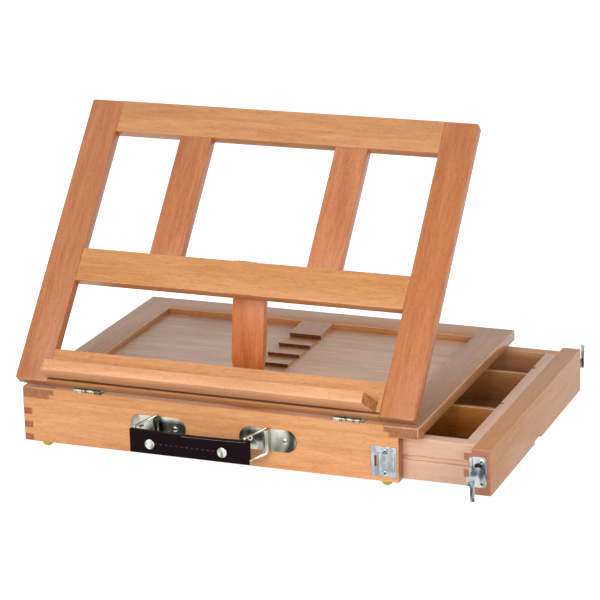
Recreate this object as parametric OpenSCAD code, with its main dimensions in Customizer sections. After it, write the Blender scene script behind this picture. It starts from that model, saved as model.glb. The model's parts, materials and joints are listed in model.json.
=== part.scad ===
// Tabletop sketch-box easel: a drawer case with a hinged canvas frame,
// a ratchet rail in the lid, a folding support leg and a strap handle.
// Case frame: X to the right, Y to the back, Z up, in millimetres.

/* [Case] */
// Overall width of the case, left side to right end of the lid
case_w = 410; // [380:1:440]
// Depth of the case, front face to back face
case_d = 311.4; // [290:0.2:340]
// Height from the underside of the walls to the top of the lid
case_h = 55.7; // [52:0.1:66]
// Thickness of the front and back walls
wall_t = 12; // [10:0.5:14]
// Thickness of the left wall
side_t = 9.6; // [8:0.2:12]
// Height of one finger in the corner joints of the case
finger_h = 6.8; // [6:0.1:7.2]
// Distance from the open end of the walls to the end of the lid
wall_setback = 19.6; // [19.2:0.1:24]

/* [Lid] */
// Thickness of the lid rails
lid_t = 11.2; // [10:0.1:12]
// Width of the lid rails
lid_rail_w = 34.5; // [30:0.5:40]
// Width of the rabbet that holds the lid panels
rabbet_w = 5.1; // [4:0.1:7]
// Thickness of the lid panels
panel_t = 4.3; // [3:0.1:4.5]

/* [Ratchet rail] */
// Width of the ratchet rail
ratchet_w = 34.5; // [34:0.5:45]
// Number of teeth
tooth_count = 7; // [5:1:7]
// Distance from one tooth to the next
tooth_pitch = 31; // [29:0.5:32]
// Distance from the case front to the steep face of the first tooth
tooth_first = 54; // [50:0.5:60]
// Depth of the tooth crests below the lid top
crest_drop = 2.9; // [2.5:0.1:4]
// Depth of the tooth valleys below the lid top
valley_drop = 6.7; // [6:0.1:7.5]
// How far the front edge of the last block lies below the lid top
last_drop = 1.8; // [0:0.1:2.5]
// How far each valley reaches back under its crest
undercut = 1.6; // [1:0.1:2.5]
// Tooth that the leg stands in, counted from the front
tooth_used = 2; // [1:1:3]

/* [Drawer] */
// How far the drawer stands open
drawer_open = 70.9; // [20:0.1:120]
// Thickness of the drawer front
front_t = 18.7; // [16:0.1:22]
// How far the drawer front stops short of each case face
front_inset = 0.45; // [0.3:0.05:1]
// How far the drawer front hangs below the case walls
front_drop = 3; // [2:0.1:4]
// Height of the drawer sides above the underside of the case walls
drawer_top = 41.7; // [40:0.1:42.5]
// Thickness of the drawer sides
drawer_side_t = 12; // [11:0.5:14]
// Thickness of the drawer end boards
drawer_end_t = 11.6; // [10:0.1:14]
// Gap between the drawer and the left wall when the drawer is shut
drawer_back_gap = 2.4; // [1:0.1:6]
// Thickness of the drawer floor
floor_t = 3; // [2.5:0.1:4]
// Height of the underside of the drawer floor
floor_z = 1.5; // [1:0.1:3]
// How far the drawer floor is let into the boards
floor_let_in = 4; // [3:0.5:6]
// Thickness of the dividers
divider_t = 5; // [4:0.5:8]
// Height of the top of the dividers
divider_top = 35; // [28:0.5:40]
// Depth of the housings that hold the dividers
housing_d = 3; // [2:0.5:5]
// Distance from the case front to the middle of the front divider
divider_front_y = 130; // [80:1:150]
// Distance from the case front to the middle of the back divider
divider_back_y = 240; // [190:1:260]
// Number of fingers in the corner joints of the drawer
drawer_fingers = 5; // [3:2:7]
// Length of the finger notch in the drawer front
notch_l = 23; // [18:0.5:40]
// Depth of the finger notch
notch_h = 3; // [2:0.1:4]

/* [Runners] */
// Height of the runner battens
runner_h = 4.9; // [4:0.1:6]
// How far the runner battens stand off the walls
runner_out = 4; // [3:0.1:5]
// Distance from the open end of the walls to the end of the runners
runner_end = 8; // [4:1:20]
// Height of the underside of the runners
runner_z = 19.3; // [19:0.1:19.8]
// Running clearance round the drawer
drawer_gap = 0.5; // [0.4:0.05:1]
// Clearance between a runner and its groove
runner_gap = 0.3; // [0.2:0.05:0.4]

/* [Canvas frame] */
// Angle of the canvas frame above the horizontal
tilt = 49; // [46:0.5:50]
// Sideways offset of the canvas frame on its hinges
frame_x = -3.2; // [-4:0.1:1]
// Width of the canvas frame
frame_w = 412; // [400:1:420]
// Length of the canvas frame up its slope
frame_l = 310.4; // [300:0.2:330]
// Thickness of the canvas frame
frame_t = 11.5; // [9:0.1:13]
// Width of the stiles and of the top rail
stile_w = 34.5; // [30:0.5:38]
// Width of the middle rail
middle_w = 35; // [30:0.5:40]
// Distance from the lower edge of the frame to the middle rail
middle_s = 109.7; // [107:0.1:113]
// Width of the mullions
mullion_w = 33.7; // [28:0.5:38]
// Distance from the frame's edge to the near mullion edge
mullion_u = 106.3; // [95:0.5:112]
// Radius of the frame's outer corners
corner_r = 2.5; // [1.5:0.1:4]

/* [Ledge] */
// Distance from the frame's right edge to the right end of the ledge
ledge_in_right = 38; // [35.5:0.5:50]
// How far the ledge stands out from the frame
ledge_out = 23; // [18:0.5:28]
// Thickness of the ledge
ledge_t = 11; // [9:0.5:13]
// Distance from the lower edge of the frame to the ledge
ledge_s = 3.5; // [3:0.5:9]
// Offset of the left end of the ledge from the frame's edge
ledge_u = 33; // [25:0.5:36]
// How much the slanted right end loses over its depth
ledge_slant = 8; // [4:0.5:12]
// Size of the bevel on the left front corner of the ledge
ledge_bevel = 5; // [2:0.5:8]
// Radius of the heads of the ledge screws
ledge_head_r = 2.4; // [2:0.1:3.5]
// Thickness of the heads of the ledge screws
ledge_head_t = 2; // [1.2:0.1:3]
// How far the ledge screws reach into the ledge
ledge_screw_grip = 9; // [6:0.5:16]
// Distance from the end of a hinge to the nearest ledge screw
ledge_screw_gap = 16; // [10:1:40]

/* [Frame hinges] */
// Length of each butt hinge
hinge_l = 28; // [26:0.5:40]
// Thickness of the hinge leaves
leaf_t = 0.9; // [0.8:0.05:0.9]
// Width of each leaf across the wood
leaf_w = 18; // [14:0.5:24]
// Radius of the hinge knuckles
knuckle_r = 1.5; // [1.4:0.05:1.55]
// Radius of the hinge pins
pin_r = 0.75; // [0.6:0.05:0.9]
// Running clearance between a pin and its knuckle
pin_gap = 0.05; // [0.03:0.01:0.08]
// Distance from the case's left edge to the middle of the left hinge
hinge_x = 71; // [60:0.5:90]
// Distance from the frame's right edge to the middle of the right hinge
hinge_in_right = 68; // [60:0.2:90]
// How far the hinge axis stands in front of the case
hinge_out = 1; // [0.8:0.1:2]
// Height of the hinge axis above the lid
hinge_up = 2.5; // [2.45:0.05:3]
// Distance from the hinge axis to the lower edge of the frame
frame_edge_s = 1.8; // [1.75:0.05:2.6]

/* [Support leg] */
// Width of the support leg
leg_w = 33; // [28:0.5:33.5]
// Width of the leg at its foot
leg_foot_w = 22; // [16:0.5:26]
// Thickness of the support leg
leg_t = 9.5; // [8.5:0.1:10]
// Length of the taper towards the foot
leg_taper = 27; // [25:1:60]
// Thickness left flat at the foot
foot_flat = 3; // [2.5:0.1:3.2]
// Length of the bevel behind the foot
foot_bevel = 14.5; // [14:0.5:22]
// Distance from the flat of the foot to the crest behind it
foot_back_gap = 2.2; // [2.1:0.05:3]
// Gap between the foot and the ramp that it stands over
foot_gap = 0.3; // [0.2:0.05:0.5]
// Length of the leg hinge
leg_hinge_l = 24; // [20:0.5:28]
// Thickness of the leg hinge leaves
leg_leaf_t = 0.8; // [0.6:0.05:0.9]
// Radius of the leg hinge knuckle
leg_knuckle_r = 1.2; // [1.1:0.05:1.2]
// Radius of the leg hinge pin
leg_pin_r = 0.6; // [0.5:0.05:0.7]
// Radius of the leg hinge screws
leg_screw_r = 0.8; // [0.6:0.05:1]
// Length of the leg hinge screws
leg_screw_l = 8; // [5:0.5:12]

/* [Strap handle] */
// Length of each handle plate
plate_l = 58.5; // [52:0.5:64]
// Height of each handle plate
plate_h = 22.4; // [20:0.2:26]
// Thickness of the handle plates
plate_t = 1.2; // [1:0.1:1.6]
// Distance from each plate's middle to its screws
plate_screw_x = 17.8; // [14:0.2:20]
// Distance from the case's left edge to the left handle plate's knuckle
handle_x = 145.3; // [120:0.1:170]
// Distance between the two knuckles
handle_span = 114; // [105:0.5:130]
// Height of the middle of the plates
handle_z = 29; // [27:0.2:30]
// Distance from the case front to the axis of the rings
ring_out = 5; // [4.7:0.1:6]
// Radius of the knuckles that hold the rings
ring_knuckle_r = 3.2; // [2.8:0.1:3.5]
// Radius of the ring wire
wire_r = 1.2; // [1:0.05:1.4]
// Reach of the rings from their axis to the grip
ring_reach = 24; // [21:0.5:28]
// Angle that the rings lean to the left
ring_lean = 34; // [0:1:45]
// How far the lower arm of a ring drops towards the grip
ring_drop = 3.2; // [2:0.1:4]
// Height of the leather grip
grip_h = 22.8; // [20:0.2:23]
// Thickness of the leather grip
grip_t = 5.7; // [5.2:0.1:7]
// How far the grip reaches past each ring
grip_end = 5.2; // [4.2:0.1:7]
// Depth of the dip along the grip's upper edge
grip_dip = 1.2; // [0.5:0.1:2]
// Radius of the rivet heads
rivet_r = 5; // [4:0.1:6]
// Thickness of the rivet heads
rivet_t = 1; // [0.8:0.1:1.5]
// Distance from each ring to its rivet
rivet_in = 16.5; // [13:0.5:25]

/* [Clasps] */
// Width of the latch plates on the drawer front
latch_w = 16.4; // [15:0.2:18.5]
// Height of the latch and keeper plates
latch_h = 30; // [27:0.5:32]
// Thickness of the clasp plates
clasp_t = 1; // [0.8:0.1:1.2]
// Height of the middle of the clasps
clasp_z = 19.75; // [19:0.25:21]
// Radius of the clasp knuckles
clasp_knuckle_r = 1.6; // [1.5:0.1:1.8]
// Radius of the clasp pins
clasp_pin_r = 0.8; // [0.6:0.05:0.9]
// Reach of the clasp levers, from their axis to the tongue
clasp_reach = 22.5; // [21:0.5:25]
// Height of the clasp levers
lever_h = 11; // [9:0.5:12]
// Thickness of the clasp levers
lever_t = 1; // [0.8:0.1:1.2]
// How far the thumb tab reaches past the middle of the lever
tab_l = 20.2; // [16:0.2:21]
// How far the thumb tab stands out, with the lever's own thickness
tab_w = 4.2; // [3.5:0.1:5]
// Width of the slot in a keeper
slot_w = 2.5; // [2.2:0.1:3]
// Height of the slot in a keeper
slot_h = 11; // [10.5:0.1:13]
// Width of the keeper plates
keeper_w = 25.3; // [24:0.1:27]
// Height of the raised field on a keeper
keeper_bump = 1.8; // [1.2:0.1:1.9]
// Distance between the two screws of a keeper or latch plate
clasp_screw_span = 21.8; // [20:0.1:22]
// Height of the knuckles on a clasp plate
ear_h = 9; // [3:0.1:9.2]
// Distance from a keeper's slot to its screws
keeper_screw_x = 9.4; // [8:0.1:11]
// Distance from the end of a latch plate to its screws
latch_screw_in = 4.7; // [4:0.1:5.5]
// Radius of the spring housing stamped into a latch plate
boss_r = 4.2; // [3.5:0.1:4.4]
// How far the spring housing stands off its plate
boss_out = 1.6; // [1:0.1:1.7]
// Angle that the front clasp lever stands open
clasp_open_front = 104; // [60:1:130]
// Angle that the back clasp lever stands open
clasp_open_back = 128; // [60:1:130]
// Angle that the lid catch lever hangs open
catch_open = 140; // [110:1:145]

/* [Small fittings] */
// Height of the rubber feet
foot_h = 5; // [4.8:0.1:8]
// Radius of the rubber feet
foot_r = 5.75; // [5:0.05:7]
// Radius of the stems that hold the feet
stem_r = 2.4; // [2:0.1:2.8]
// Length of the stems
stem_l = 6; // [4:0.5:6.5]
// Distance from the case's left edge to the left feet
foot_left_x = 22; // [15:0.5:40]
// Distance from the open end of the walls to the right feet
foot_right_in = 13.4; // [8:0.2:40]
// Length of the strike plate on the canvas frame's upper edge
strike_l = 20; // [16:1:34]
// Width of the strike plate
strike_w = 6.8; // [6:0.1:7.8]
// Thickness of the strike plate
strike_t = 0.8; // [0.5:0.1:1.2]
// Radius of the plate screw heads
screw_head_r = 2.7; // [2.2:0.1:2.9]
// Radius of the screw shanks
screw_r = 1.2; // [1:0.05:1.4]
// Length of the screw shanks
screw_l = 8; // [5:0.5:8.5]

/* [Hidden] */
$fn = 48;

// colours
beech = "#d9955f";
beech_pale = "#dcb08a";
beech_red = "#c8784a";
ply = "#c9b0a0";
steel = "#b9c0bd";
rubber = "#c2b21e";
leather = "#24121a";

// case
e = 0.01;
wall_h = case_h - lid_t;
wall_l = case_w - wall_setback;
foot_right_x = wall_l - foot_right_in;
panel_z = wall_h + panel_t;
hole_gap = 0.05;

// ratchet
crest_z = case_h - crest_drop;
valley_z = case_h - valley_drop;
function tooth_y(i) = tooth_first + i * tooth_pitch;
// each ramp ends this far short of the next steep face
root_flat = 0.2;
ramp_slope = (crest_z - valley_z) / (tooth_pitch + undercut - root_flat);
function ramp_end(i) = tooth_y(i) + undercut - root_flat;
// height of the ramp in front of tooth i at the place y
function ramp_z(i, y) = valley_z + (ramp_end(i) - y) * ramp_slope;

// drawer
shut_gap = 0.3;
front_x = wall_l + shut_gap + drawer_open;
drawer_x = side_t + drawer_back_gap + drawer_open;
drawer_l = front_x - drawer_x;
drawer_y = wall_t + drawer_gap;
drawer_w = case_d - 2 * drawer_y;
finger_step = drawer_top / drawer_fingers;
groove_z = runner_z - runner_gap;
groove_h = runner_h + 2 * runner_gap;
groove_d = runner_out - drawer_gap + runner_gap;

// canvas frame
axis_y = -hinge_out;
axis_z = case_h + hinge_up;
// the back of the frame lies this far in front of the hinge axis, so that both leaves fit
frame_n = -(hinge_up - 2 * leaf_t - 0.1);
middle_top = middle_s + middle_w;
hinge_x_right = min(case_w, frame_x + frame_w) - hinge_in_right;
// how far leaves and screw heads are sunk below a face
leaf_inset = 0.6;
hinge_screw_l = 5;
ledge_l = frame_w - ledge_u - ledge_in_right;
// places of the ledge screws along the frame's width
ledge_screw_low = hinge_x - frame_x + hinge_l / 2 + ledge_screw_gap;
ledge_screw_high = hinge_x_right - frame_x - hinge_l / 2 - ledge_screw_gap;

// leg
leg_knuckle_gap = 0.3;
leg_end_gap = 0.5;
leg_axis_off = leg_knuckle_r + leg_knuckle_gap;
// the leg's end stands a little farther off, to clear the fixed knuckles when it folds
leg_end_off = leg_axis_off + leg_end_gap;
leg_front_gap = 0.2;
leg_s = frame_edge_s + middle_top + leg_axis_off;
leg_n = frame_n - leg_front_gap;
leg_y = axis_y + leg_s * cos(tilt) - leg_n * sin(tilt);
leg_z = axis_z + leg_s * sin(tilt) + leg_n * cos(tilt);
leg_x = case_w / 2;
used = tooth_used - 1;
foot_y = tooth_y(used) - foot_flat - foot_back_gap;
foot_z = ramp_z(used, foot_y) + foot_gap;
foot_dist = norm([leg_y - foot_y, leg_z - foot_z]);
leg_l = sqrt(foot_dist * foot_dist - leg_front_gap * leg_front_gap);
leg_lean = atan2(leg_y - foot_y, leg_z - foot_z) + asin(leg_front_gap / foot_dist);

// handle
ring_x = [handle_x, handle_x + handle_span];
ring_dx = -ring_reach * sin(ring_lean);
ring_dy = -ring_reach * cos(ring_lean);
plate_low = handle_z - plate_h / 2;
plate_high = handle_z + plate_h / 2;
ring_gap = 0.3;
ring_gap_high = 0.9;
// farthest lean of the rings to either side
ring_swing = 68;
inner_low = plate_low - ring_gap - wire_r;
inner_high = plate_high + ring_gap_high + wire_r;
outer_low = inner_low - ring_drop;
grip_low = outer_low + wire_r + ring_gap - 3;
grip_high = grip_low + grip_h;
// at its farthest swing a ring's lower arm runs this far inside the grip, and climbs on the way
arm_run = (grip_t / 2 + wire_r) / cos(ring_swing);
grip_pocket = outer_low + wire_r + ring_gap + arm_run * ring_drop / ring_reach;
outer_high = grip_high + 1.5 + wire_r;
grip_y = -ring_out + ring_dy;
wire_gap = 0.06;

// clasps
end_front_y = front_inset;
end_back_y = case_d - front_inset;
clasp_axis_off = clasp_t + clasp_knuckle_r + 0.1;
// the levers turn on an axis just outside the edge of the drawer front
latch_edge = 0.2;
latch_axis_x = front_x - latch_edge;
keeper_slot_x = latch_axis_x - drawer_open - clasp_reach;
lever_face = clasp_t + keeper_bump + 0.3;
segment_gap = 0.3;
// depth of the pockets in the wood that the lever tongues reach into
pocket_d = 3;
boss_l = 9;
boss_x = latch_w / 2 - 0.6;
catch_x = frame_x + frame_w / 2;
catch_z = axis_z + frame_n + frame_t / 2 - clasp_reach;
// the lever's plate lies this far in front of its axis, and the tongue ends this far behind it
lever_off = lever_face + front_inset - clasp_axis_off;
tongue_tip = clasp_axis_off - 0.2;
roll_r = 1.2;
// raised field on a keeper: where its slope starts and ends, and how far it stops short
bump_start = 2.2;
bump_top = 3.6;
bump_end_in = 6;
bump_h = lever_h + 7;

// extents at rest, which place the origin
x_low = min(0, frame_x);
x_high = front_x + front_t;
y_low = grip_y - grip_t / 2 - rivet_t;
y_high = end_back_y + clasp_axis_off + (clasp_reach + lever_t / 2) * sin(clasp_open_back)
    + max(-tongue_tip * cos(clasp_open_back), (lever_off + tab_w) * cos(clasp_open_back));
origin_shift = [-(x_low + x_high) / 2, -(y_low + y_high) / 2, foot_h];

// ---------- helpers ----------

module at_origin() translate(origin_shift) children();

module box(low, high) translate(low) cube(high - low);

// places children that are drawn in the canvas frame's own plane:
// X along its width, Y up its slope from the lower edge, Z out of its front
module on_frame() at_origin() translate([frame_x, axis_y, axis_z]) rotate([tilt, 0, 0])
    translate([0, frame_edge_s, frame_n]) children();

// places children that are drawn about the leg's axis: Y along the leg, Z towards its back
module on_leg() at_origin() translate([leg_x, leg_y, leg_z])
    rotate([-90 - leg_lean, 0, 0]) children();

module round_plate(w, h, t, r) linear_extrude(t) union() {
    translate([r, 0]) square([w - 2 * r, h]);
    translate([0, r]) square([w, h - 2 * r]);
    for (x = [r, w - r], y = [r, h - r]) translate([x, y]) circle(r);
}

// shank and head of a raised countersunk screw, its axis along -Y, seated on y = 0
module wall_screw() rotate([90, 0, 0]) {
    translate([0, 0, -screw_l]) cylinder(r = screw_r, h = screw_l + e);
    rotate_extrude() polygon([[0, 0], [screw_head_r, 0], [screw_head_r, 0.35],
        [screw_head_r * 0.75, 0.85], [screw_head_r * 0.4, 1.1], [0, 1.15]]);
}

// shank hole through a clasp plate, and room for the head in front of it
module screw_seat() rotate([90, 0, 0]) {
    translate([0, 0, -1]) cylinder(r = screw_r + hole_gap, h = 4);
    translate([0, 0, clasp_t]) cylinder(r = screw_head_r + hole_gap, h = 4);
}

// hole for such a screw, through a plate that reaches deep in front of y = 0
module wall_screw_hole(deep = 3) rotate([90, 0, 0])
    translate([0, 0, -screw_l - 0.5]) cylinder(r = screw_r + hole_gap, h = screw_l + 0.5 + deep);

// ---------- case ----------

module side_finger_slots(x_end) for (k = [0 : 2])
    box([x_end - side_t - e, -e, 2 * k * finger_h - (k == 0 ? 1 : 0)],
        [x_end, wall_t + e, (2 * k + 1) * finger_h]);

module wall_board() difference() {
    box([0, 0, 0], [wall_l, wall_t, wall_h]);
    side_finger_slots(side_t);
    for (x = [foot_left_x, foot_right_x]) translate([x, wall_t / 2, -e])
        cylinder(r = stem_r + hole_gap, h = stem_l + 0.5);
}

module keeper_pocket() box([keeper_slot_x - slot_w / 2, -e, clasp_z - slot_h / 2],
    [keeper_slot_x + slot_w / 2, pocket_d, clasp_z + slot_h / 2]);

module handle_screws() for (x = ring_x, side = [-1, 1])
    translate([x + side * plate_screw_x, 0, handle_z]) children();

module keeper_screws(x) for (side = [-1, 1])
    translate([x + keeper_screw_x, 0, side * clasp_screw_span / 2]) children();

module keeper_screw_places() translate([0, 0, clasp_z]) keeper_screws(keeper_slot_x) children();

module front_wall() color(beech) at_origin() difference() {
    wall_board();
    keeper_pocket();
    handle_screws() wall_screw_hole();
    keeper_screw_places() wall_screw_hole();
}

// the back of the case repeats the front
module at_back() at_origin() translate([0, case_d, 0]) mirror([0, 1, 0]) children();

module back_wall() color(beech) at_back() difference() {
    wall_board();
    keeper_pocket();
    keeper_screw_places() wall_screw_hole();
    catch_screw_places() wall_screw_hole();
}

module left_wall() color(beech_red) at_origin() {
    box([0, wall_t, 0], [side_t, case_d - wall_t, wall_h]);
    for (y = [0, case_d - wall_t], k = [0 : 2])
        box([0, y, 2 * k * finger_h], [side_t, y + wall_t, (2 * k + 1) * finger_h]);
}

// cross-section of a side rail of the lid, with its rabbet at the lower inner edge
module side_rail_shape() polygon([[0, wall_h], [lid_rail_w - rabbet_w, wall_h],
    [lid_rail_w - rabbet_w, panel_z], [lid_rail_w, panel_z], [lid_rail_w, case_h], [0, case_h]]);

module side_rail() translate([0, case_d, 0]) rotate([90, 0, 0]) linear_extrude(case_d)
    side_rail_shape();

module lid_rail_left() color(beech_red) at_origin() side_rail();

module lid_rail_right() color(beech_red) at_origin() translate([case_w, 0, 0]) mirror([1, 0, 0])
    side_rail();

// a cross rail between the side rails; its ends fill the rabbets of the side rails
module cross_rail() difference() {
    union() {
        box([lid_rail_w, 0, wall_h], [case_w - lid_rail_w, lid_rail_w, case_h]);
        box([lid_rail_w - rabbet_w, 0, wall_h], [case_w - lid_rail_w + rabbet_w,
            lid_rail_w - rabbet_w, panel_z]);
    }
    box([lid_rail_w - rabbet_w - e, lid_rail_w - rabbet_w, wall_h - e],
        [case_w - lid_rail_w + rabbet_w + e, lid_rail_w + e, panel_z]);
}

module hinge_screw_places() for (x = [hinge_x, hinge_x_right], side = [-1, 1])
    translate([x + side * hinge_l * 0.3, leaf_w * 0.6, 0]) children();

module lid_rail_front() color(beech) at_origin() difference() {
    cross_rail();
    hinge_screw_places() translate([0, 0, case_h - hinge_screw_l - 1])
        cylinder(r = screw_r + hole_gap, h = hinge_screw_l + 2);
}

module lid_rail_back() color(beech) at_back() cross_rail();

// extrudes a profile drawn in Y and Z to the width of the ratchet rail
module across_ratchet() at_origin() translate([leg_x - ratchet_w / 2, 0, 0])
    rotate([90, 0, 90]) linear_extrude(ratchet_w) children();

module ratchet_rail() color(beech_pale) across_ratchet() polygon([
    [lid_rail_w - rabbet_w, wall_h], [case_d - lid_rail_w + rabbet_w, wall_h],
    [case_d - lid_rail_w + rabbet_w, panel_z], [case_d - lid_rail_w, panel_z],
    [case_d - lid_rail_w, valley_z], [lid_rail_w, valley_z],
    [lid_rail_w, panel_z], [lid_rail_w - rabbet_w, panel_z]]);

// saw teeth: steep undercut faces look to the front, long ramps fall away behind them
module ratchet_teeth() color(beech_pale) across_ratchet() {
    polygon([[lid_rail_w, valley_z], [lid_rail_w, ramp_z(0, lid_rail_w)], [ramp_end(0), valley_z]]);
    for (k = [0 : tooth_count - 2])
        polygon([[tooth_y(k), crest_z], [tooth_y(k) + undercut, valley_z], [ramp_end(k + 1), valley_z]]);
    polygon([[tooth_y(tooth_count - 1), case_h - last_drop], [tooth_y(tooth_count - 1) + undercut, valley_z],
        [case_d - lid_rail_w, valley_z], [case_d - lid_rail_w, case_h]]);
}

module lid_panel(x0, x1) box([x0, lid_rail_w - rabbet_w, wall_h],
    [x1, case_d - lid_rail_w + rabbet_w, panel_z]);

module lid_panel_left() color(ply) at_origin()
    lid_panel(lid_rail_w - rabbet_w, leg_x - ratchet_w / 2);

module lid_panel_right() color(ply) at_origin()
    lid_panel(leg_x + ratchet_w / 2, case_w - lid_rail_w + rabbet_w);

module runner() box([side_t, wall_t, runner_z],
    [wall_l - runner_end, wall_t + runner_out, runner_z + runner_h]);

module runner_front() color(beech) at_origin() runner();

module runner_back() color(beech) at_back() runner();

module foot_places() for (x = [foot_left_x, foot_right_x], y = [wall_t / 2, case_d - wall_t / 2])
    translate([x, y, -foot_h]) children();

// domed bumper with a stem that is pressed up into the wall
module rubber_feet() color(rubber) at_origin() foot_places() {
    rotate_extrude() intersection() {
        translate([0, foot_h]) circle(foot_r);
        square([foot_r, foot_h]);
    }
    cylinder(r = stem_r, h = foot_h + stem_l);
}

// ---------- clasps ----------

// plate shape in X and Z, rounded at one side; the face is at y = 0 and the front at -t
module clasp_plate_blank(w, h, t, r) rotate([90, 0, 0]) linear_extrude(t) union() {
    square([w - r, h]);
    translate([0, r]) square([w, h - 2 * r]);
    for (y = [r, h - r]) translate([w - r, y]) circle(r);
}

// keeper drawn with its slot at x = 0 and its open end to the right
module keeper() difference() {
    union() {
        translate([keeper_w - 4.7, 0, -latch_h / 2]) mirror([1, 0, 0])
            clasp_plate_blank(keeper_w, latch_h, clasp_t, 3);
        translate([0, -clasp_t + e, -bump_h / 2]) linear_extrude(bump_h)
            polygon([[bump_start, 0], [bump_top, -keeper_bump],
                [keeper_w - bump_end_in, -keeper_bump], [keeper_w - bump_end_in, 0]]);
    }
    box([-slot_w / 2, -clasp_t - 1, -slot_h / 2], [slot_w / 2, 1, slot_h / 2]);
    keeper_screws(0) screw_seat();
}

module keeper_front() color(steel) at_origin() translate([keeper_slot_x, 0, clasp_z]) keeper();

module keeper_back() color(steel) at_back() translate([keeper_slot_x, 0, clasp_z]) keeper();

// latch plate drawn with its lever axis at x = 0, standing clasp_axis_off in front of y = 0
module latch_plate() difference() {
    union() {
        translate([latch_edge, 0, -latch_h / 2])
            clasp_plate_blank(latch_w - clasp_knuckle_r - latch_edge, latch_h, clasp_t, 3);
        for (side = [-1, 1]) translate([0, 0, side * (lever_h / 2 + ear_h / 2 + segment_gap)]) {
            translate([0, -clasp_axis_off, 0]) cylinder(r = clasp_knuckle_r, h = ear_h, center = true);
            translate([latch_edge, -clasp_axis_off, -ear_h / 2])
                cube([clasp_knuckle_r - latch_edge, clasp_axis_off - e, ear_h]);
        }
        translate([boss_x, -clasp_t + e, 1.2]) rotate([90, 0, 0]) linear_extrude(boss_out) union() {
            circle(boss_r);
            translate([-boss_r, -boss_l]) square([2 * boss_r, boss_l]);
        }
    }
    translate([0, -clasp_axis_off, 0]) cylinder(r = clasp_pin_r + pin_gap, h = latch_h, center = true);
    translate([0, -clasp_axis_off, 0])
        cylinder(r = clasp_knuckle_r + 0.2, h = lever_h + 2 * segment_gap, center = true);
    latch_screw_places() screw_seat();
}

module latch_screw_places() for (side = [-1, 1])
    translate([latch_w - clasp_knuckle_r - latch_screw_in, 0, side * clasp_screw_span / 2]) children();

module latch_pin() translate([0, -clasp_axis_off, 0])
    cylinder(r = clasp_pin_r, h = lever_h + 2 * (ear_h + segment_gap), center = true);

// clasp lever drawn shut: axis at x = 0, tongue and thumb tab at -clasp_reach, tab down
module lever() difference() {
    union() {
        cylinder(r = clasp_knuckle_r, h = lever_h, center = true);
        box([-clasp_knuckle_r, -lever_off - lever_t, -lever_h / 2], [0, 0, lever_h / 2]);
        translate([0, -lever_off, 0]) rotate([90, 0, 0]) linear_extrude(lever_t)
            polygon([[0, -lever_h / 2], [0, lever_h / 2], [-clasp_reach * 0.75, lever_h / 2],
                [-clasp_reach - lever_t / 2, lever_h * 0.42],
                [-clasp_reach - lever_t / 2, -lever_h * 0.42],
                [-clasp_reach * 0.75, -lever_h / 2]]);
        box([-clasp_reach - lever_t / 2, -lever_off - e, -lever_h * 0.42],
            [-clasp_reach + lever_t / 2, tongue_tip, lever_h * 0.42]);
        // the thumb tab is bent outwards along the lever's end, with a rolled tip
        box([-clasp_reach - lever_t / 2, -lever_off - tab_w, -tab_l + roll_r],
            [-clasp_reach + lever_t / 2, -lever_off, lever_h * 0.42]);
        translate([-clasp_reach, -lever_off - tab_w, -tab_l + roll_r]) rotate([-90, 0, 0])
            cylinder(r = roll_r, h = tab_w);
    }
    cylinder(r = clasp_pin_r + pin_gap, h = lever_h + 2, center = true);
}

module latch_front_place() translate([latch_axis_x, end_front_y, clasp_z]) children();

// the back clasp is the same fitting turned over, so its tab points up
module latch_back_place() translate([latch_axis_x, end_back_y, clasp_z]) rotate([180, 0, 0]) children();

module latch_plate_front() color(steel) at_origin() latch_front_place() latch_plate();

module latch_plate_back() color(steel) at_origin() latch_back_place() latch_plate();

module latch_pins() color(steel) at_origin() {
    latch_front_place() latch_pin();
    latch_back_place() latch_pin();
}

module latch_lever_front() color(steel) at_origin() latch_front_place()
    translate([0, -clasp_axis_off, 0]) rotate([0, 0, clasp_open_front]) lever();

module latch_lever_back() color(steel) at_origin() latch_back_place()
    translate([0, -clasp_axis_off, 0]) rotate([0, 0, clasp_open_back]) lever();

module latch_screws() color(steel) at_origin() {
    latch_front_place() latch_screw_places() translate([0, -clasp_t, 0]) wall_screw();
    latch_back_place() latch_screw_places() translate([0, -clasp_t, 0]) wall_screw();
}

// the catch on the case back shuts upwards over the top edge of the canvas frame
module catch_place() translate([catch_x, case_d, catch_z]) rotate([0, 90, 180]) children();

module catch_screw_places() translate([catch_x, 0, catch_z]) mirror([0, 1, 0])
    rotate([0, 90, 180]) latch_screw_places() children();

module catch_plate() color(steel) at_origin() catch_place() latch_plate();

module catch_pin() color(steel) at_origin() catch_place() latch_pin();

module catch_lever() color(steel) at_origin() catch_place() translate([0, -clasp_axis_off, 0])
    rotate([0, 0, catch_open]) lever();

module case_screws() color(steel) at_origin() {
    handle_screws() translate([0, -plate_t, 0]) wall_screw();
    keeper_screw_places() translate([0, -clasp_t, 0]) wall_screw();
    translate([0, case_d, 0]) mirror([0, 1, 0]) keeper_screw_places()
        translate([0, -clasp_t, 0]) wall_screw();
    catch_place() latch_screw_places() translate([0, -clasp_t, 0]) wall_screw();
}

// ---------- drawer ----------

// the end boards' fingers: the second and fourth of five steps
module drawer_finger_steps() for (k = [1 : 2 : drawer_fingers - 2])
    translate([0, 0, k * finger_step]) children();

module floor_panel() box([drawer_x + drawer_end_t - floor_let_in, drawer_y + drawer_side_t - floor_let_in,
    floor_z], [front_x - drawer_end_t + floor_let_in, case_d - drawer_y - drawer_side_t + floor_let_in,
    floor_z + floor_t]);

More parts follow.
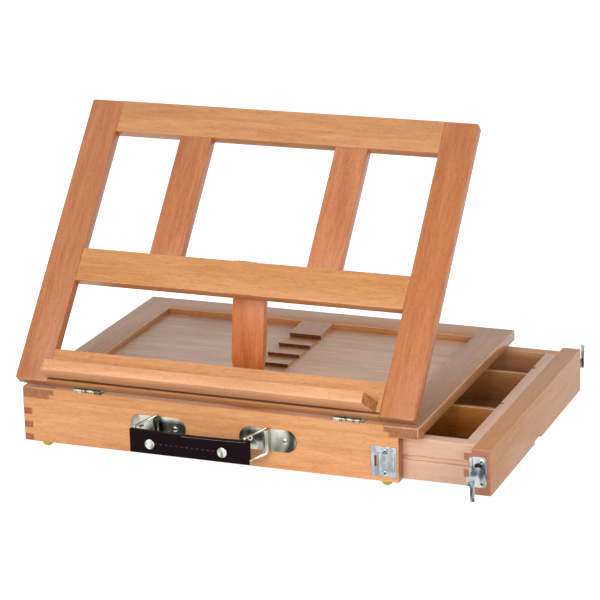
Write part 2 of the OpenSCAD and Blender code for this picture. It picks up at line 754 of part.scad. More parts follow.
module drawer_side() difference() {
    box([drawer_x, drawer_y, 0], [front_x, drawer_y + drawer_side_t, drawer_top]);
    box([drawer_x - e, drawer_y - e, groove_z], [front_x + e, drawer_y + groove_d, groove_z + groove_h]);
    for (x = [drawer_x - e, front_x - drawer_end_t]) drawer_finger_steps()
        translate([x, drawer_y - e, 0]) cube([drawer_end_t + e, drawer_side_t + 2 * e, finger_step]);
    floor_panel();
}

module drawer_end(x) difference() {
    union() {
        box([x, drawer_y + drawer_side_t, 0],
            [x + drawer_end_t, case_d - drawer_y - drawer_side_t, drawer_top]);
        drawer_finger_steps() translate([x, drawer_y, 0]) cube([drawer_end_t, drawer_w, finger_step]);
    }
    floor_panel();
    for (y = [divider_front_y, divider_back_y])
        box([drawer_x + drawer_end_t - housing_d, y - divider_t / 2, floor_z + floor_t],
            [front_x - drawer_end_t + housing_d, y + divider_t / 2, drawer_top + 1]);
}

module drawer_front() color(beech_red) at_origin() difference() {
    box([front_x, front_inset, -front_drop], [front_x + front_t, case_d - front_inset, drawer_top]);
    translate([front_x - 1, case_d / 2, -front_drop]) rotate([90, 0, 90]) linear_extrude(front_t + 2)
        union() {
            translate([-notch_l / 2, -1]) square([notch_l, 1 + notch_h - 2]);
            translate([-notch_l / 2 + 2, -1]) square([notch_l - 4, 1 + notch_h]);
            for (side = [-1, 1]) translate([side * (notch_l / 2 - 2), notch_h - 2]) circle(2);
        }
    latch_front_place() latch_screw_places() wall_screw_hole();
    latch_back_place() latch_screw_places() wall_screw_hole();
}

module drawer_end_right() color(beech_red) at_origin() drawer_end(front_x - drawer_end_t);

module drawer_end_left() color(beech_red) at_origin() drawer_end(drawer_x);

module drawer_side_front() color(beech_pale) at_origin() drawer_side();

module drawer_side_back() color(beech_pale) at_back() drawer_side();

module drawer_floor() color(ply) at_origin() floor_panel();

module divider(y) box([drawer_x + drawer_end_t - housing_d, y - divider_t / 2, floor_z + floor_t],
    [front_x - drawer_end_t + housing_d, y + divider_t / 2, divider_top]);

module divider_front() color(beech_pale) at_origin() divider(divider_front_y);

module divider_back() color(beech_pale) at_origin() divider(divider_back_y);

// ---------- canvas frame ----------

// stile with its two outer corners rounded in the plane of the frame
module stile() difference() {
    linear_extrude(frame_t) union() {
        translate([corner_r, 0]) square([stile_w - corner_r, frame_l]);
        translate([0, corner_r]) square([stile_w, frame_l - 2 * corner_r]);
        for (y = [corner_r, frame_l - corner_r]) translate([corner_r, y]) circle(corner_r);
    }
}

module frame_stile_left() color(beech_red) on_frame() stile();

module frame_stile_right() color(beech_red) on_frame() translate([frame_w, 0, 0]) mirror([1, 0, 0]) stile();

module rail_between(s0, s1) box([stile_w, s0, 0], [frame_w - stile_w, s1, frame_t]);

module strike_pocket() box([(frame_w - slot_h) / 2, frame_l - pocket_d, (frame_t - slot_w) / 2],
    [(frame_w + slot_h) / 2, frame_l + 2 * strike_t, (frame_t + slot_w) / 2]);

module frame_top_rail() color(beech) on_frame() difference() {
    rail_between(frame_l - stile_w, frame_l);
    strike_pocket();
}

module frame_middle_rail() color(beech) on_frame() rail_between(middle_s, middle_top);

module ledge_screw_places()
    for (x = [ledge_screw_low, (ledge_screw_low + ledge_screw_high) / 2, ledge_screw_high])
        translate([x, ledge_s + ledge_t / 2, 0]) children();

module upper_screw_places() for (x = [hinge_x, hinge_x_right], side = [-1, 1])
    translate([x - frame_x + side * hinge_l * 0.3, leaf_w * 0.6, 0]) children();

module frame_bottom_rail() color(beech) on_frame() difference() {
    rail_between(0, stile_w);
    ledge_screw_places() translate([0, 0, -1]) cylinder(r = screw_r + hole_gap, h = frame_t + 2);
    ledge_screw_places() translate([0, 0, -e])
        cylinder(r = ledge_head_r + hole_gap, h = ledge_head_t + leaf_inset);
    upper_screw_places() translate([0, 0, -e]) cylinder(r = screw_r + hole_gap, h = hinge_screw_l + 1);
}

module mullion(u) box([u, middle_top, 0], [u + mullion_w, frame_l - stile_w, frame_t]);

module frame_mullion_left() color(beech_red) on_frame() mullion(mullion_u);

module frame_mullion_right() color(beech_red) on_frame() mullion(frame_w - mullion_u - mullion_w);

module canvas_ledge() color(beech) on_frame() difference() {
    translate([0, ledge_s, frame_t]) rotate([-90, 0, 0]) linear_extrude(ledge_t)
        polygon([[ledge_u, 0], [ledge_u + ledge_l, 0],
            [ledge_u + ledge_l - ledge_slant, -ledge_out], [ledge_u + ledge_bevel, -ledge_out],
            [ledge_u, -ledge_out + ledge_bevel]]);
    ledge_screw_places() translate([0, 0, -e])
        cylinder(r = screw_r + hole_gap, h = frame_t + ledge_screw_grip + 1);
}

module ledge_screws() color(steel) on_frame() ledge_screw_places() {
    translate([0, 0, leaf_inset - 0.1]) cylinder(r = ledge_head_r, h = ledge_head_t);
    translate([0, 0, leaf_inset]) cylinder(r = screw_r, h = frame_t + ledge_screw_grip);
}

// ---------- frame hinges ----------

hinge_third = hinge_l * 0.41;

// leaf drawn from the axis at y = 0 in the direction of +Y, lying on z = low;
// its screw holes are set out from the wood's edge, which stands at y = edge
module leaf(low, own_middle, edge) difference() {
    union() {
        box([-hinge_l / 2, knuckle_r + 0.4, low], [hinge_l / 2, leaf_w, low + leaf_t]);
        if (own_middle) hinge_root(low, -hinge_third / 2 + 0.15, hinge_third / 2 - 0.15);
        if (!own_middle) {
            hinge_root(low, -hinge_l / 2, -hinge_third / 2 - 0.15);
            hinge_root(low, hinge_third / 2 + 0.15, hinge_l / 2);
        }
    }
    rotate([0, 90, 0]) cylinder(r = pin_r + pin_gap, h = hinge_l + 2, center = true);
    for (side = [-1, 1]) translate([side * hinge_l * 0.3, leaf_w * 0.6 + edge, low - 1])
        cylinder(r = screw_r + hole_gap, h = leaf_t + 2);
}

// one knuckle with the strip that joins it to its leaf
module hinge_root(low, x0, x1) {
    translate([x0, 0, 0]) rotate([0, 90, 0]) cylinder(r = knuckle_r, h = x1 - x0);
    box([x0, -knuckle_r * 0.5, low], [x1, knuckle_r + 0.4 + e, low + leaf_t]);
    box([x0, -knuckle_r * 0.5, min(low, -knuckle_r * 0.5)], [x1, knuckle_r * 0.5, 0]);
}

module hinge_leaves_lower() color(steel) at_origin() for (x = [hinge_x, hinge_x_right])
    translate([x, axis_y, axis_z]) difference() {
        leaf(-hinge_up, false, hinge_out);
        // nothing of the leaf stands below the lid top
        box([-hinge_l, -leaf_w, -2 * hinge_up], [hinge_l, 2 * leaf_w, -hinge_up]);
    }

module hinge_leaves_upper() color(steel) at_origin() for (x = [hinge_x, hinge_x_right])
    translate([x, axis_y, axis_z]) rotate([tilt, 0, 0]) leaf(frame_n - leaf_t, true, frame_edge_s);

module hinge_pins() color(steel) at_origin() for (x = [hinge_x, hinge_x_right])
    translate([x, axis_y, axis_z]) rotate([0, 90, 0]) cylinder(r = pin_r, h = hinge_l, center = true);

module hinge_screws_lower() color(steel) at_origin() hinge_screw_places()
    translate([0, 0, case_h - hinge_screw_l]) cylinder(r = screw_r, h = hinge_screw_l + leaf_t);

module hinge_screws_upper() color(steel) on_frame() upper_screw_places()
    translate([0, 0, -leaf_t]) cylinder(r = screw_r, h = hinge_screw_l + leaf_t);

module top_strike() color(steel) on_frame() difference() {
    box([frame_w / 2 - strike_l / 2, frame_l, frame_t / 2 - strike_w / 2],
        [frame_w / 2 + strike_l / 2, frame_l + strike_t, frame_t / 2 + strike_w / 2]);
    strike_pocket();
}

// ---------- support leg ----------

leg_third = leg_hinge_l * 0.34;

// an outer knuckle of the leg hinge, and the strip that joins it to its leaf
leg_outer = (leg_hinge_l - leg_third) / 2 - segment_gap;

module leg_hinge_fixed() color(steel) on_frame()
    translate([leg_x - frame_x, middle_top + leg_axis_off, -leg_front_gap]) difference() {
    union() {
        for (side = [-1, 1]) translate([side * (leg_third + leg_outer + segment_gap) / 2, 0, 0]) {
            rotate([0, 90, 0]) cylinder(r = leg_knuckle_r, h = leg_outer, center = true);
            box([-leg_outer / 2, -leg_axis_off, -leg_knuckle_r * 0.4],
                [leg_outer / 2, 0, leg_knuckle_r * 0.8]);
            box([-leg_outer / 2, -leg_axis_off, 0],
                [leg_outer / 2, -leg_axis_off + leg_leaf_t, leg_knuckle_r + 1]);
        }
        box([-leg_hinge_l / 2, -leg_axis_off, leg_knuckle_r + 0.3],
            [leg_hinge_l / 2, -leg_axis_off + leg_leaf_t, frame_t - leaf_inset]);
    }
    rotate([0, 90, 0]) cylinder(r = leg_pin_r + pin_gap, h = leg_hinge_l + 2, center = true);
}

module leg_hinge_moving() color(steel) on_leg() difference() {
    union() {
        rotate([0, 90, 0]) cylinder(r = leg_knuckle_r, h = leg_third, center = true);
        box([-leg_third / 2, 0, 0], [leg_third / 2, leg_end_off, leg_knuckle_r + 1]);
        box([-leg_hinge_l / 2, leg_end_off - leg_leaf_t, leg_knuckle_r + 0.5],
            [leg_hinge_l / 2, leg_end_off, leg_t - leaf_inset]);
    }
    rotate([0, 90, 0]) cylinder(r = leg_pin_r + pin_gap, h = leg_hinge_l + 2, center = true);
}

module leg_hinge_pin() color(steel) on_leg() rotate([0, 90, 0])
    cylinder(r = leg_pin_r, h = leg_hinge_l, center = true);

module support_leg() color(beech) on_leg() difference() {
    translate([0, 0, leg_front_gap]) linear_extrude(leg_t) polygon([
        [-leg_w / 2, leg_end_off], [leg_w / 2, leg_end_off],
        [leg_w / 2, leg_l - leg_taper], [leg_w * 0.45, leg_l - leg_taper * 0.67],
        [leg_foot_w / 2, leg_l], [-leg_foot_w / 2, leg_l],
        [-leg_w * 0.45, leg_l - leg_taper * 0.67], [-leg_w / 2, leg_l - leg_taper]]);
    translate([-leg_w, 0, leg_front_gap]) rotate([90, 0, 90]) linear_extrude(leg_w * 2)
        polygon([[leg_l + 1, foot_flat - (leg_t - foot_flat) / foot_bevel],
            [leg_l - foot_bevel, leg_t], [leg_l - foot_bevel, leg_t + 1], [leg_l + 1, leg_t + 1]]);
    leg_screw_places() translate([0, leg_end_off - e, 0]) rotate([-90, 0, 0])
        cylinder(r = leg_screw_r + hole_gap, h = leg_screw_l + 1);
}

module leg_screw_places() for (side = [-1, 1])
    translate([side * leg_hinge_l * 0.33, 0, leg_front_gap + leg_t / 2]) children();

module leg_hinge_screws() color(steel) on_leg() leg_screw_places() translate([0, leg_end_off, 0])
    rotate([-90, 0, 0]) cylinder(r = leg_screw_r, h = leg_screw_l);

// ---------- strap handle ----------

module handle_plate(x) translate([x, 0, handle_z]) difference() {
    union() {
        rotate([90, 0, 0]) linear_extrude(plate_t) union() {
            square([plate_l - plate_h, plate_h], center = true);
            for (side = [-1, 1]) translate([side * (plate_l - plate_h) / 2, 0]) circle(plate_h / 2);
        }
        translate([0, -ring_out, 0]) cylinder(r = ring_knuckle_r, h = plate_h, center = true);
        box([-ring_knuckle_r, -ring_out, -plate_h / 2], [ring_knuckle_r, -plate_t + e, plate_h / 2]);
    }
    translate([0, -ring_out, 0]) cylinder(r = wire_r + wire_gap, h = plate_h + 2, center = true);
    for (side = [-1, 1]) translate([side * plate_screw_x, 1, 0]) rotate([90, 0, 0])
        cylinder(r = screw_r + hole_gap, h = plate_t + 2);
}

module handle_plate_left() color(steel) at_origin() handle_plate(ring_x[0]);

module handle_plate_right() color(steel) at_origin() handle_plate(ring_x[1]);

module rod(a, b, r) translate(a)
    rotate([0, acos((b - a)[2] / norm(b - a)), atan2((b - a)[1], (b - a)[0])])
    cylinder(r = r, h = norm(b - a));

// wire ring round the four corners of a leaning loop
module wire_ring(x) translate([x, -ring_out, 0]) {
    low_in = [0, 0, inner_low];
    high_in = [0, 0, inner_high];
    low_out = [ring_dx, ring_dy, outer_low];
    high_out = [ring_dx, ring_dy, outer_high];
    rod(low_in, high_in, wire_r);
    rod(low_out, high_out, wire_r);
    rod(low_in, low_out, wire_r);
    rod(high_in, high_out, wire_r);
    for (corner = [low_in, high_in, low_out, high_out]) translate(corner) sphere(wire_r + 0.12);
}

module ring_left() color(steel) at_origin() wire_ring(ring_x[0]);

module ring_right() color(steel) at_origin() wire_ring(ring_x[1]);

grip_x = [ring_x[0] + ring_dx, ring_x[1] + ring_dx];

// strap folded round both rings; the lower corners are open behind for the ring arms
module leather_grip() color(leather) at_origin() difference() {
    intersection() {
        translate([0, 0, grip_low]) linear_extrude(grip_h) union() {
            translate([grip_x[0] - grip_end + 2, grip_y - grip_t / 2])
                square([grip_x[1] - grip_x[0] + 2 * grip_end - 4, grip_t]);
            translate([grip_x[0] - grip_end, grip_y - grip_t / 2 + 2])
                square([grip_x[1] - grip_x[0] + 2 * grip_end, grip_t - 4]);
            for (x = [grip_x[0] - grip_end + 2, grip_x[1] + grip_end - 2],
                y = [grip_y - grip_t / 2 + 2, grip_y + grip_t / 2 - 2]) translate([x, y]) circle(2);
        }
        translate([(grip_x[0] + grip_x[1]) / 2, grip_y + grip_t, 0]) rotate([90, 0, 0])
            linear_extrude(2 * grip_t) difference() {
                translate([-handle_span, grip_low]) square([2 * handle_span, grip_h]);
                translate([0, grip_high - grip_dip + dip_r]) circle(dip_r, $fn = 180);
            }
    }
    for (x = grip_x) {
        translate([x, grip_y, grip_low]) cylinder(r = wire_r + wire_gap, h = grip_h + 1);
        box([x - pocket_w, grip_y - wire_r - ring_gap, grip_low - 1],
            [x + pocket_w, grip_y + grip_t, grip_pocket]);
    }
    rivet_places() translate([0, grip_t, 0]) rotate([90, 0, 0])
        cylinder(r = 1.6 + hole_gap, h = 2 * grip_t);
}

dip_r = (handle_span * handle_span / 4 + grip_dip * grip_dip) / (2 * grip_dip);
pocket_w = arm_run * sin(ring_swing) + wire_r;

module rivet_places() for (x = [grip_x[0] + rivet_in, grip_x[1] - rivet_in - 6])
    translate([x, grip_y, (grip_low + grip_high) / 2 - 1.5]) children();

module grip_rivets() color(steel) at_origin() rivet_places() rotate([90, 0, 0]) {
    cylinder(r = 1.6, h = grip_t + 2 * e, center = true);
    translate([0, 0, grip_t / 2]) cylinder(r = rivet_r, h = rivet_t);
    translate([0, 0, -grip_t / 2 - 0.8]) cylinder(r = 3.5, h = 0.8);
}

front_wall();
back_wall();
left_wall();
lid_rail_left();
lid_rail_right();
lid_rail_front();
lid_rail_back();
ratchet_rail();
ratchet_teeth();
lid_panel_left();
lid_panel_right();
runner_front();
runner_back();
rubber_feet();
handle_plate_left();
handle_plate_right();
keeper_front();
keeper_back();
case_screws();
hinge_leaves_lower();
hinge_screws_lower();
catch_plate();
catch_pin();
drawer_front();
drawer_end_right();
drawer_end_left();
drawer_side_front();
drawer_side_back();
drawer_floor();
divider_front();
divider_back();
latch_plate_front();
latch_plate_back();
latch_pins();
latch_screws();
latch_lever_front();
latch_lever_back();
catch_lever();
frame_stile_left();
frame_stile_right();
frame_top_rail();
frame_middle_rail();
frame_bottom_rail();
frame_mullion_left();
frame_mullion_right();
canvas_ledge();
ledge_screws();
hinge_leaves_upper();
hinge_pins();
hinge_screws_upper();
top_strike();
leg_hinge_fixed();
support_leg();
leg_hinge_moving();
leg_hinge_pin();
leg_hinge_screws();
ring_left();
ring_right();
leather_grip();
grip_rivets();
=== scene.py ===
import json
import math

import bmesh
import bpy
from mathutils import Matrix, Vector

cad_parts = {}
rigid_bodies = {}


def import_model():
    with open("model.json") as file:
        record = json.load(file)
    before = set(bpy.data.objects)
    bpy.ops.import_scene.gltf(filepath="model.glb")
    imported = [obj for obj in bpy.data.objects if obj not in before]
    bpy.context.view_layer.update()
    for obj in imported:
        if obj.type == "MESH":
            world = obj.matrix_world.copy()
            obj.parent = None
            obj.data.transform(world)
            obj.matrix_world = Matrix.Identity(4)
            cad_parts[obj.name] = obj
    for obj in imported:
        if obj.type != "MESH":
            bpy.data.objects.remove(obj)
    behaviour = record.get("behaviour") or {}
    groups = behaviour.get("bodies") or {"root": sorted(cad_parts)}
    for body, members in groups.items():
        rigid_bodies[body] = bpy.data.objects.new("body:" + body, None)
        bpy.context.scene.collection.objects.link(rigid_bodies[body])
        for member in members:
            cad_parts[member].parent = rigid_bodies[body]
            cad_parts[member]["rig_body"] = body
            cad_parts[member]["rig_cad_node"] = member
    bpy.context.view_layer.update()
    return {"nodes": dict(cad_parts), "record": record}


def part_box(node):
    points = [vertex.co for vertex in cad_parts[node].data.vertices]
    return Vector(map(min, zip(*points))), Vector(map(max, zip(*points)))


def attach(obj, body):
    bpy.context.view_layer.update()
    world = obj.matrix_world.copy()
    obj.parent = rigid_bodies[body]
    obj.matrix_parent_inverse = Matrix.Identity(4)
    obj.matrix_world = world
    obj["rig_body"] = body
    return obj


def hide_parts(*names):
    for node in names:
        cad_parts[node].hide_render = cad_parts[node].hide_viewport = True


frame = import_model()

mm = 0.001
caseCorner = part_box("front_wall")[0]   # lower front left corner of the case: the camera stands off it
tilt = math.radians(49)                # slope of the canvas frame at rest
legLean = math.radians(8.16)           # lean of the support leg at rest


def deselectAll():
    for item in bpy.context.selected_objects:
        item.select_set(False)


deselectAll()   # the CAD nodes come in selected


# the camera

camera = {
    "place": (1138.7, -2123.8, 880.75),   # mm from the case corner
    "yaw": 21.65, "pitch": 17.26, "roll": -1.47,
    "lens": 154.6, "sensor": 36, "reach": 50,
}


def addCamera():
    bpy.ops.object.camera_add()
    eye = bpy.context.object
    eye.name = "viewCamera"
    yaw, pitch, roll = (math.radians(camera[k]) for k in ("yaw", "pitch", "roll"))
    ahead = Vector((-math.sin(yaw) * math.cos(pitch), math.cos(yaw) * math.cos(pitch), -math.sin(pitch)))
    right = Vector((math.cos(yaw), math.sin(yaw), 0))
    up = right.cross(ahead)
    rightRolled = right * math.cos(roll) + up * math.sin(roll)
    upRolled = -right * math.sin(roll) + up * math.cos(roll)
    turn = Matrix((rightRolled, upRolled, -ahead)).transposed().to_4x4()
    eye.matrix_world = Matrix.Translation(caseCorner + Vector(camera["place"]) * mm) @ turn
    eye.data.lens = camera["lens"]
    eye.data.sensor_width = camera["sensor"]
    eye.data.clip_end = camera["reach"]
    bpy.context.scene.camera = eye


addCamera()
print("camera set")


# tools for materials

def linear(hexColour):
    parts = [int(hexColour[i:i + 2], 16) / 255 for i in (1, 3, 5)]
    return tuple(p / 12.92 if p <= 0.04045 else ((p + 0.055) / 1.055) ** 2.4 for p in parts) + (1.0,)


def placeStops(marks, stops):
    # a stop is a place and either a hex tone or a grey level
    while len(marks) < len(stops):
        marks.new(0.5)
    for mark, (place, tone) in zip(marks, stops):
        mark.position = place
        mark.color = linear(tone) if isinstance(tone, str) else (tone, tone, tone, 1)


def linkInputs(tree, node, links):
    for key, socket in links.items():
        tree.links.new(socket, node.inputs[key])


def addNode(tree, kind, settings=None, links=None):
    # a setting is the value of an input, a property of the node or the stops of a colour ramp;
    # inputs of a Mix node go by number: 0 is the share, 2 and 3 mix values, 6 and 7 mix colours
    node = tree.nodes.new(kind)
    for key, value in (settings or {}).items():
        if key == "stops":
            placeStops(node.color_ramp.elements, value)
        elif isinstance(key, int) or key in node.inputs:
            node.inputs[key].default_value = value
        else:
            setattr(node, key, value)
    linkInputs(tree, node, links or {})
    return node


def newMaterial(name):
    # gives the material, its nodes, its shader and the places a pattern can lie on
    material = bpy.data.materials.new(name)
    material.use_nodes = True
    tree = material.node_tree
    place = addNode(tree, "ShaderNodeTexCoord")
    return material, tree, tree.nodes["Principled BSDF"], place.outputs


# the woods

# turns that bring the grain of a board onto the X axis of its pattern
grainTurns = {
    "x": (0, 0, 0),
    "y": (0, 0, -math.pi / 2),
    "slopeX": (-tilt, 0, 0),
    "slope": (-tilt, 0, -math.pi / 2),
    "leg": (math.pi / 2 + legLean, 0, -math.pi / 2),
}

# tones of each wood: ground and late wood on its faces, end grain, rays and, where its edges are broken,
# the worn edge; then its roughness, the strength of its rays and how strongly its figure shows
woods = {
    # steamed European beech, planed and oiled: warm tan with short dark rays and a satin face
    "beech": {"ground": "#E9AA72", "late": "#D38A52", "end": "#B07349", "ray": "#9A5B30",
              "worn": "#E2A875", "rough": 0.36, "rays": 0.22, "figure": 1.0},
    # redder heartwood boards of the same beech: stiles, mullions, leg and left wall
    "beechRed": {"ground": "#CF8450", "late": "#B5673A", "end": "#B56D40", "ray": "#8E4B26",
                 "worn": "#D08A58", "rough": 0.36, "rays": 0.3, "figure": 1.2},
    # sanded beech of the drawer, not oiled: pinkish and dry
    "beechPale": {"ground": "#E3BB9E", "late": "#CFA083", "end": "#B57350", "ray": "#A8735A",
                  "worn": "#F0CFB5", "rough": 0.5, "rays": 0.12, "figure": 0.8},
    # rotary cut birch plywood, sanded: greyish pink with broad soft figure
    "plywood": {"ground": "#DDB99C", "late": "#C39C82", "end": "#A07C60", "ray": "#A98D7C",
                "rough": 0.42, "rays": 0.16, "figure": 1.4},
}

# the layers of the figure: steps to the metre along the board and across it, and the noise in them
layers = {
    # broad growth: soft bands about 14 mm across that run 150 mm along the board
    "bands": {"stretch": (6.5, 70, 70), "Detail": 2.0, "Roughness": 0.5, "Distortion": 1.2},
    # yearly rings cut along the board: wavy streaks 3.5 mm apart and 30 mm long
    "rings": {"stretch": (34, 290, 290), "Detail": 4.0, "Roughness": 0.6, "Distortion": 0.6},
    # fibres are under 0.1 mm wide in truth and are drawn at 1 mm so that they show
    "fibre": {"stretch": (60, 1000, 1000), "Detail": 2.0, "Roughness": 0.6},
    # rays: dark dashes 4 mm long and 0.8 mm wide, a few to each square centimetre
    "rays": {"stretch": (210, 950, 950), "Detail": 0.0},
}
seedStep = Vector((0.713, 0.291, 0.437))   # each board is cut from its own part of the pattern (m)
# shares of the rings and the fibre in the mix, how far it spreads between the two tones, and where the
# dashes, the pores and the end grain begin and are full
blend = {"rings": 0.5, "fibre": 0.22, "spread": 0.14, "dashes": [(0.62, 0.0), (0.7, 1.0)],
         "pores": (0.36, 0.56), "ends": [(0.6, 0.0), (0.85, 1.0)]}
# how the fibre changes the roughness, and how deep it is planed (mm)
fibreFeel = {"smoother": 0.05, "rougher": 0.1, "bump": 0.3, "depth": 0.2}
# painted shadow and dust in the corner under the ledge: a line just under it and a weaker veil below (mm)
shadowAndGrime = {"tone": "#351A0B", "over": 1, "below": 6, "stops": [(0.0, 0.4), (0.62, 0.35), (0.72, 0.9)]}


def addLayer(tree, pattern, name):
    settings = dict(layers[name], Scale=1.0)
    stretch = addNode(tree, "ShaderNodeMapping", {"Scale": settings.pop("stretch")}, {"Vector": pattern})
    noise = addNode(tree, "ShaderNodeTexNoise", settings, {"Vector": stretch.outputs["Vector"]})
    return noise.outputs["Fac"]


def addLongFace(tree, figure, look):
    twoFigures = addNode(tree, "ShaderNodeMix", {"data_type": "FLOAT", 0: blend["rings"]},
                         {2: figure["bands"], 3: figure["rings"]})
    allFigures = addNode(tree, "ShaderNodeMix", {"data_type": "FLOAT", 0: blend["fibre"]},
                         {2: twoFigures.outputs[0], 3: figure["fibre"]})
    spread = blend["spread"] / look["figure"]
    planed = addNode(tree, "ShaderNodeValToRGB",
                     {"stops": [(0.5 - spread, look["late"]), (0.5 + spread, look["ground"])]},
                     {"Fac": allFigures.outputs[0]})
    dashes = addNode(tree, "ShaderNodeValToRGB", {"stops": blend["dashes"]}, {"Fac": figure["rays"]})
    share = addNode(tree, "ShaderNodeMath", {"operation": "MULTIPLY", 1: look["rays"]},
                    {0: dashes.outputs["Color"]})
    face = addNode(tree, "ShaderNodeMix", {"data_type": "RGBA", 7: linear(look["ray"])},
                   {0: share.outputs[0], 6: planed.outputs["Color"]})
    return face.outputs[2]


# darkens the colour below the ledge's foot: painted shadow and dust, in a line just under the ledge and a
# weaker veil below it
def addShadowAndGrime(tree, turned, foot, clean):
    slope = addNode(tree, "ShaderNodeSeparateXYZ", links={0: turned})
    top = foot + shadowAndGrime["over"] * mm
    height = addNode(tree, "ShaderNodeMapRange", {"From Min": foot - shadowAndGrime["below"] * mm, "From Max": top},
                     {"Value": slope.outputs["Y"]})
    shadowAndDirt = addNode(tree, "ShaderNodeValToRGB", {"stops": shadowAndGrime["stops"]}, {"Fac": height.outputs[0]})
    shadowAndDirty = addNode(tree, "ShaderNodeMix", {"data_type": "RGBA", 7: linear(shadowAndGrime["tone"])},
                    {0: shadowAndDirt.outputs["Color"], 6: clean})
    above = addNode(tree, "ShaderNodeMath", {"operation": "GREATER_THAN", 1: top}, {0: slope.outputs["Y"]})
    face = addNode(tree, "ShaderNodeMix", {"data_type": "RGBA"},
                   {0: above.outputs[0], 6: shadowAndDirty.outputs[2], 7: clean})
    return face.outputs[2]


def makeWood(board, seed):
    look = woods[board["wood"]]
    turn = grainTurns[board["grain"]]
    material, tree, shader, place = newMaterial(f"{board['wood']}Oiled{seed}")
    turned = addNode(tree, "ShaderNodeMapping", {"Rotation": turn}, {"Vector": place["Object"]})
    pattern = addNode(tree, "ShaderNodeMapping", {"Location": seedStep * seed},
                      {"Vector": turned.outputs["Vector"]})
    figure = {name: addLayer(tree, pattern.outputs["Vector"], name) for name in layers}
    shade = addNode(tree, "ShaderNodeHueSaturation",
                    {"Value": 1 + board.get("light", 0.0), "Saturation": 1 + board.get("deep", 0.0)},
                    {"Color": addLongFace(tree, figure, look)})
    face = shade.outputs["Color"]
    # painted shadow and dust under the ledge
    if "shadowAndGrimeBelow" in board:
        face = addShadowAndGrime(tree, turned.outputs["Vector"], board["shadowAndGrimeBelow"], face)
    # end grain shows where the normal lies along the grain
    normal = addNode(tree, "ShaderNodeMapping", {"Rotation": turn, "vector_type": "NORMAL"},
                     {"Vector": place["Normal"]})
    split = addNode(tree, "ShaderNodeSeparateXYZ", links={0: normal.outputs["Vector"]})
    along = addNode(tree, "ShaderNodeMath", {"operation": "ABSOLUTE"}, {0: split.outputs["X"]})
    ends = addNode(tree, "ShaderNodeValToRGB", {"stops": blend["ends"]}, {"Fac": along.outputs[0]})
    poreTones = (look["ray"], board.get("endTone", look["end"]))
    pores = addNode(tree, "ShaderNodeValToRGB", {"stops": list(zip(blend["pores"], poreTones))},
                    {"Fac": figure["rings"]})
    colour = addNode(tree, "ShaderNodeMix", {"data_type": "RGBA"},
                     {0: ends.outputs["Color"], 6: face, 7: pores.outputs["Color"]})
    polished = look["rough"] - board.get("gloss", 0.0)
    sheen = addNode(tree, "ShaderNodeMapRange",
                    {"To Min": polished - fibreFeel["smoother"], "To Max": polished + fibreFeel["rougher"]},
                    {"Value": figure["fibre"]})
    planing = addNode(tree, "ShaderNodeBump",
                      {"Strength": fibreFeel["bump"], "Distance": fibreFeel["depth"] * mm},
                      {"Height": figure["fibre"]})
    shader.inputs["IOR"].default_value = 1.5
    linkInputs(tree, shader, {"Base Color": colour.outputs[2], "Roughness": sheen.outputs[0],
                              "Normal": planing.outputs["Normal"]})
    return material


def makeArris(kind):
    # the same beech where an edge is broken and worn: paler and smoother
    look = woods[kind]
    material, tree, shader, place = newMaterial(f"{kind}WornEdge")
    wear = addNode(tree, "ShaderNodeTexNoise", {"Scale": 55.0, "Detail": 3.0}, {"Vector": place["Object"]})
    tint = addNode(tree, "ShaderNodeValToRGB", {"stops": [(0.38, look["late"]), (0.6, look["worn"])]},
                   {"Fac": wear.outputs["Fac"]})
    sheen = addNode(tree, "ShaderNodeMapRange", {"To Min": 0.3, "To Max": 0.42},
                    {"Value": wear.outputs["Fac"]})
    linkInputs(tree, shader, {"Base Color": tint.outputs["Color"], "Roughness": sheen.outputs[0]})
    return material


# metal, rubber and leather

# how each nickel plated fitting is finished: its dark and light tones, the size of its clouds (mm),
# its roughness and how strongly the press shows
metals = {
    # polished wire, rivets and screws
    "bright": {"dark": "#83847D", "light": "#CDD0C9", "cloud": 5, "rough": 0.16, "press": 0.1},
    # stamped handle plates: thick bright plating; its soft dark and pale bands are painted reflections, and
    # the press shows in its dents
    "plate": {"dark": "#3B3A30", "light": "#B9BBAD", "cloud": 17, "rough": 0.2, "press": 0.2},
    # stamped keepers: satin, cool pale grey
    "keeper": {"dark": "#868D90", "light": "#AAB1B4", "cloud": 7, "rough": 0.3, "press": 0.2},
    # clasp plates and levers: the same steel, smoked by handling
    "clasp": {"dark": "#5D646A", "light": "#BCC3C6", "cloud": 6, "rough": 0.28, "press": 0.2},
    "lever": {"dark": "#454C52", "light": "#A3ABAF", "cloud": 5, "rough": 0.26, "press": 0.2},
    # bent wire of the handle rings
    "wire": {"dark": "#8B887C", "light": "#D2D2C9", "cloud": 16, "rough": 0.2, "press": 0.0},
    # thin hinges: dull, a little green where the plating is thin
    "hinge": {"dark": "#55584C", "light": "#B2B7A4", "cloud": 4, "rough": 0.38, "press": 0.2},
}


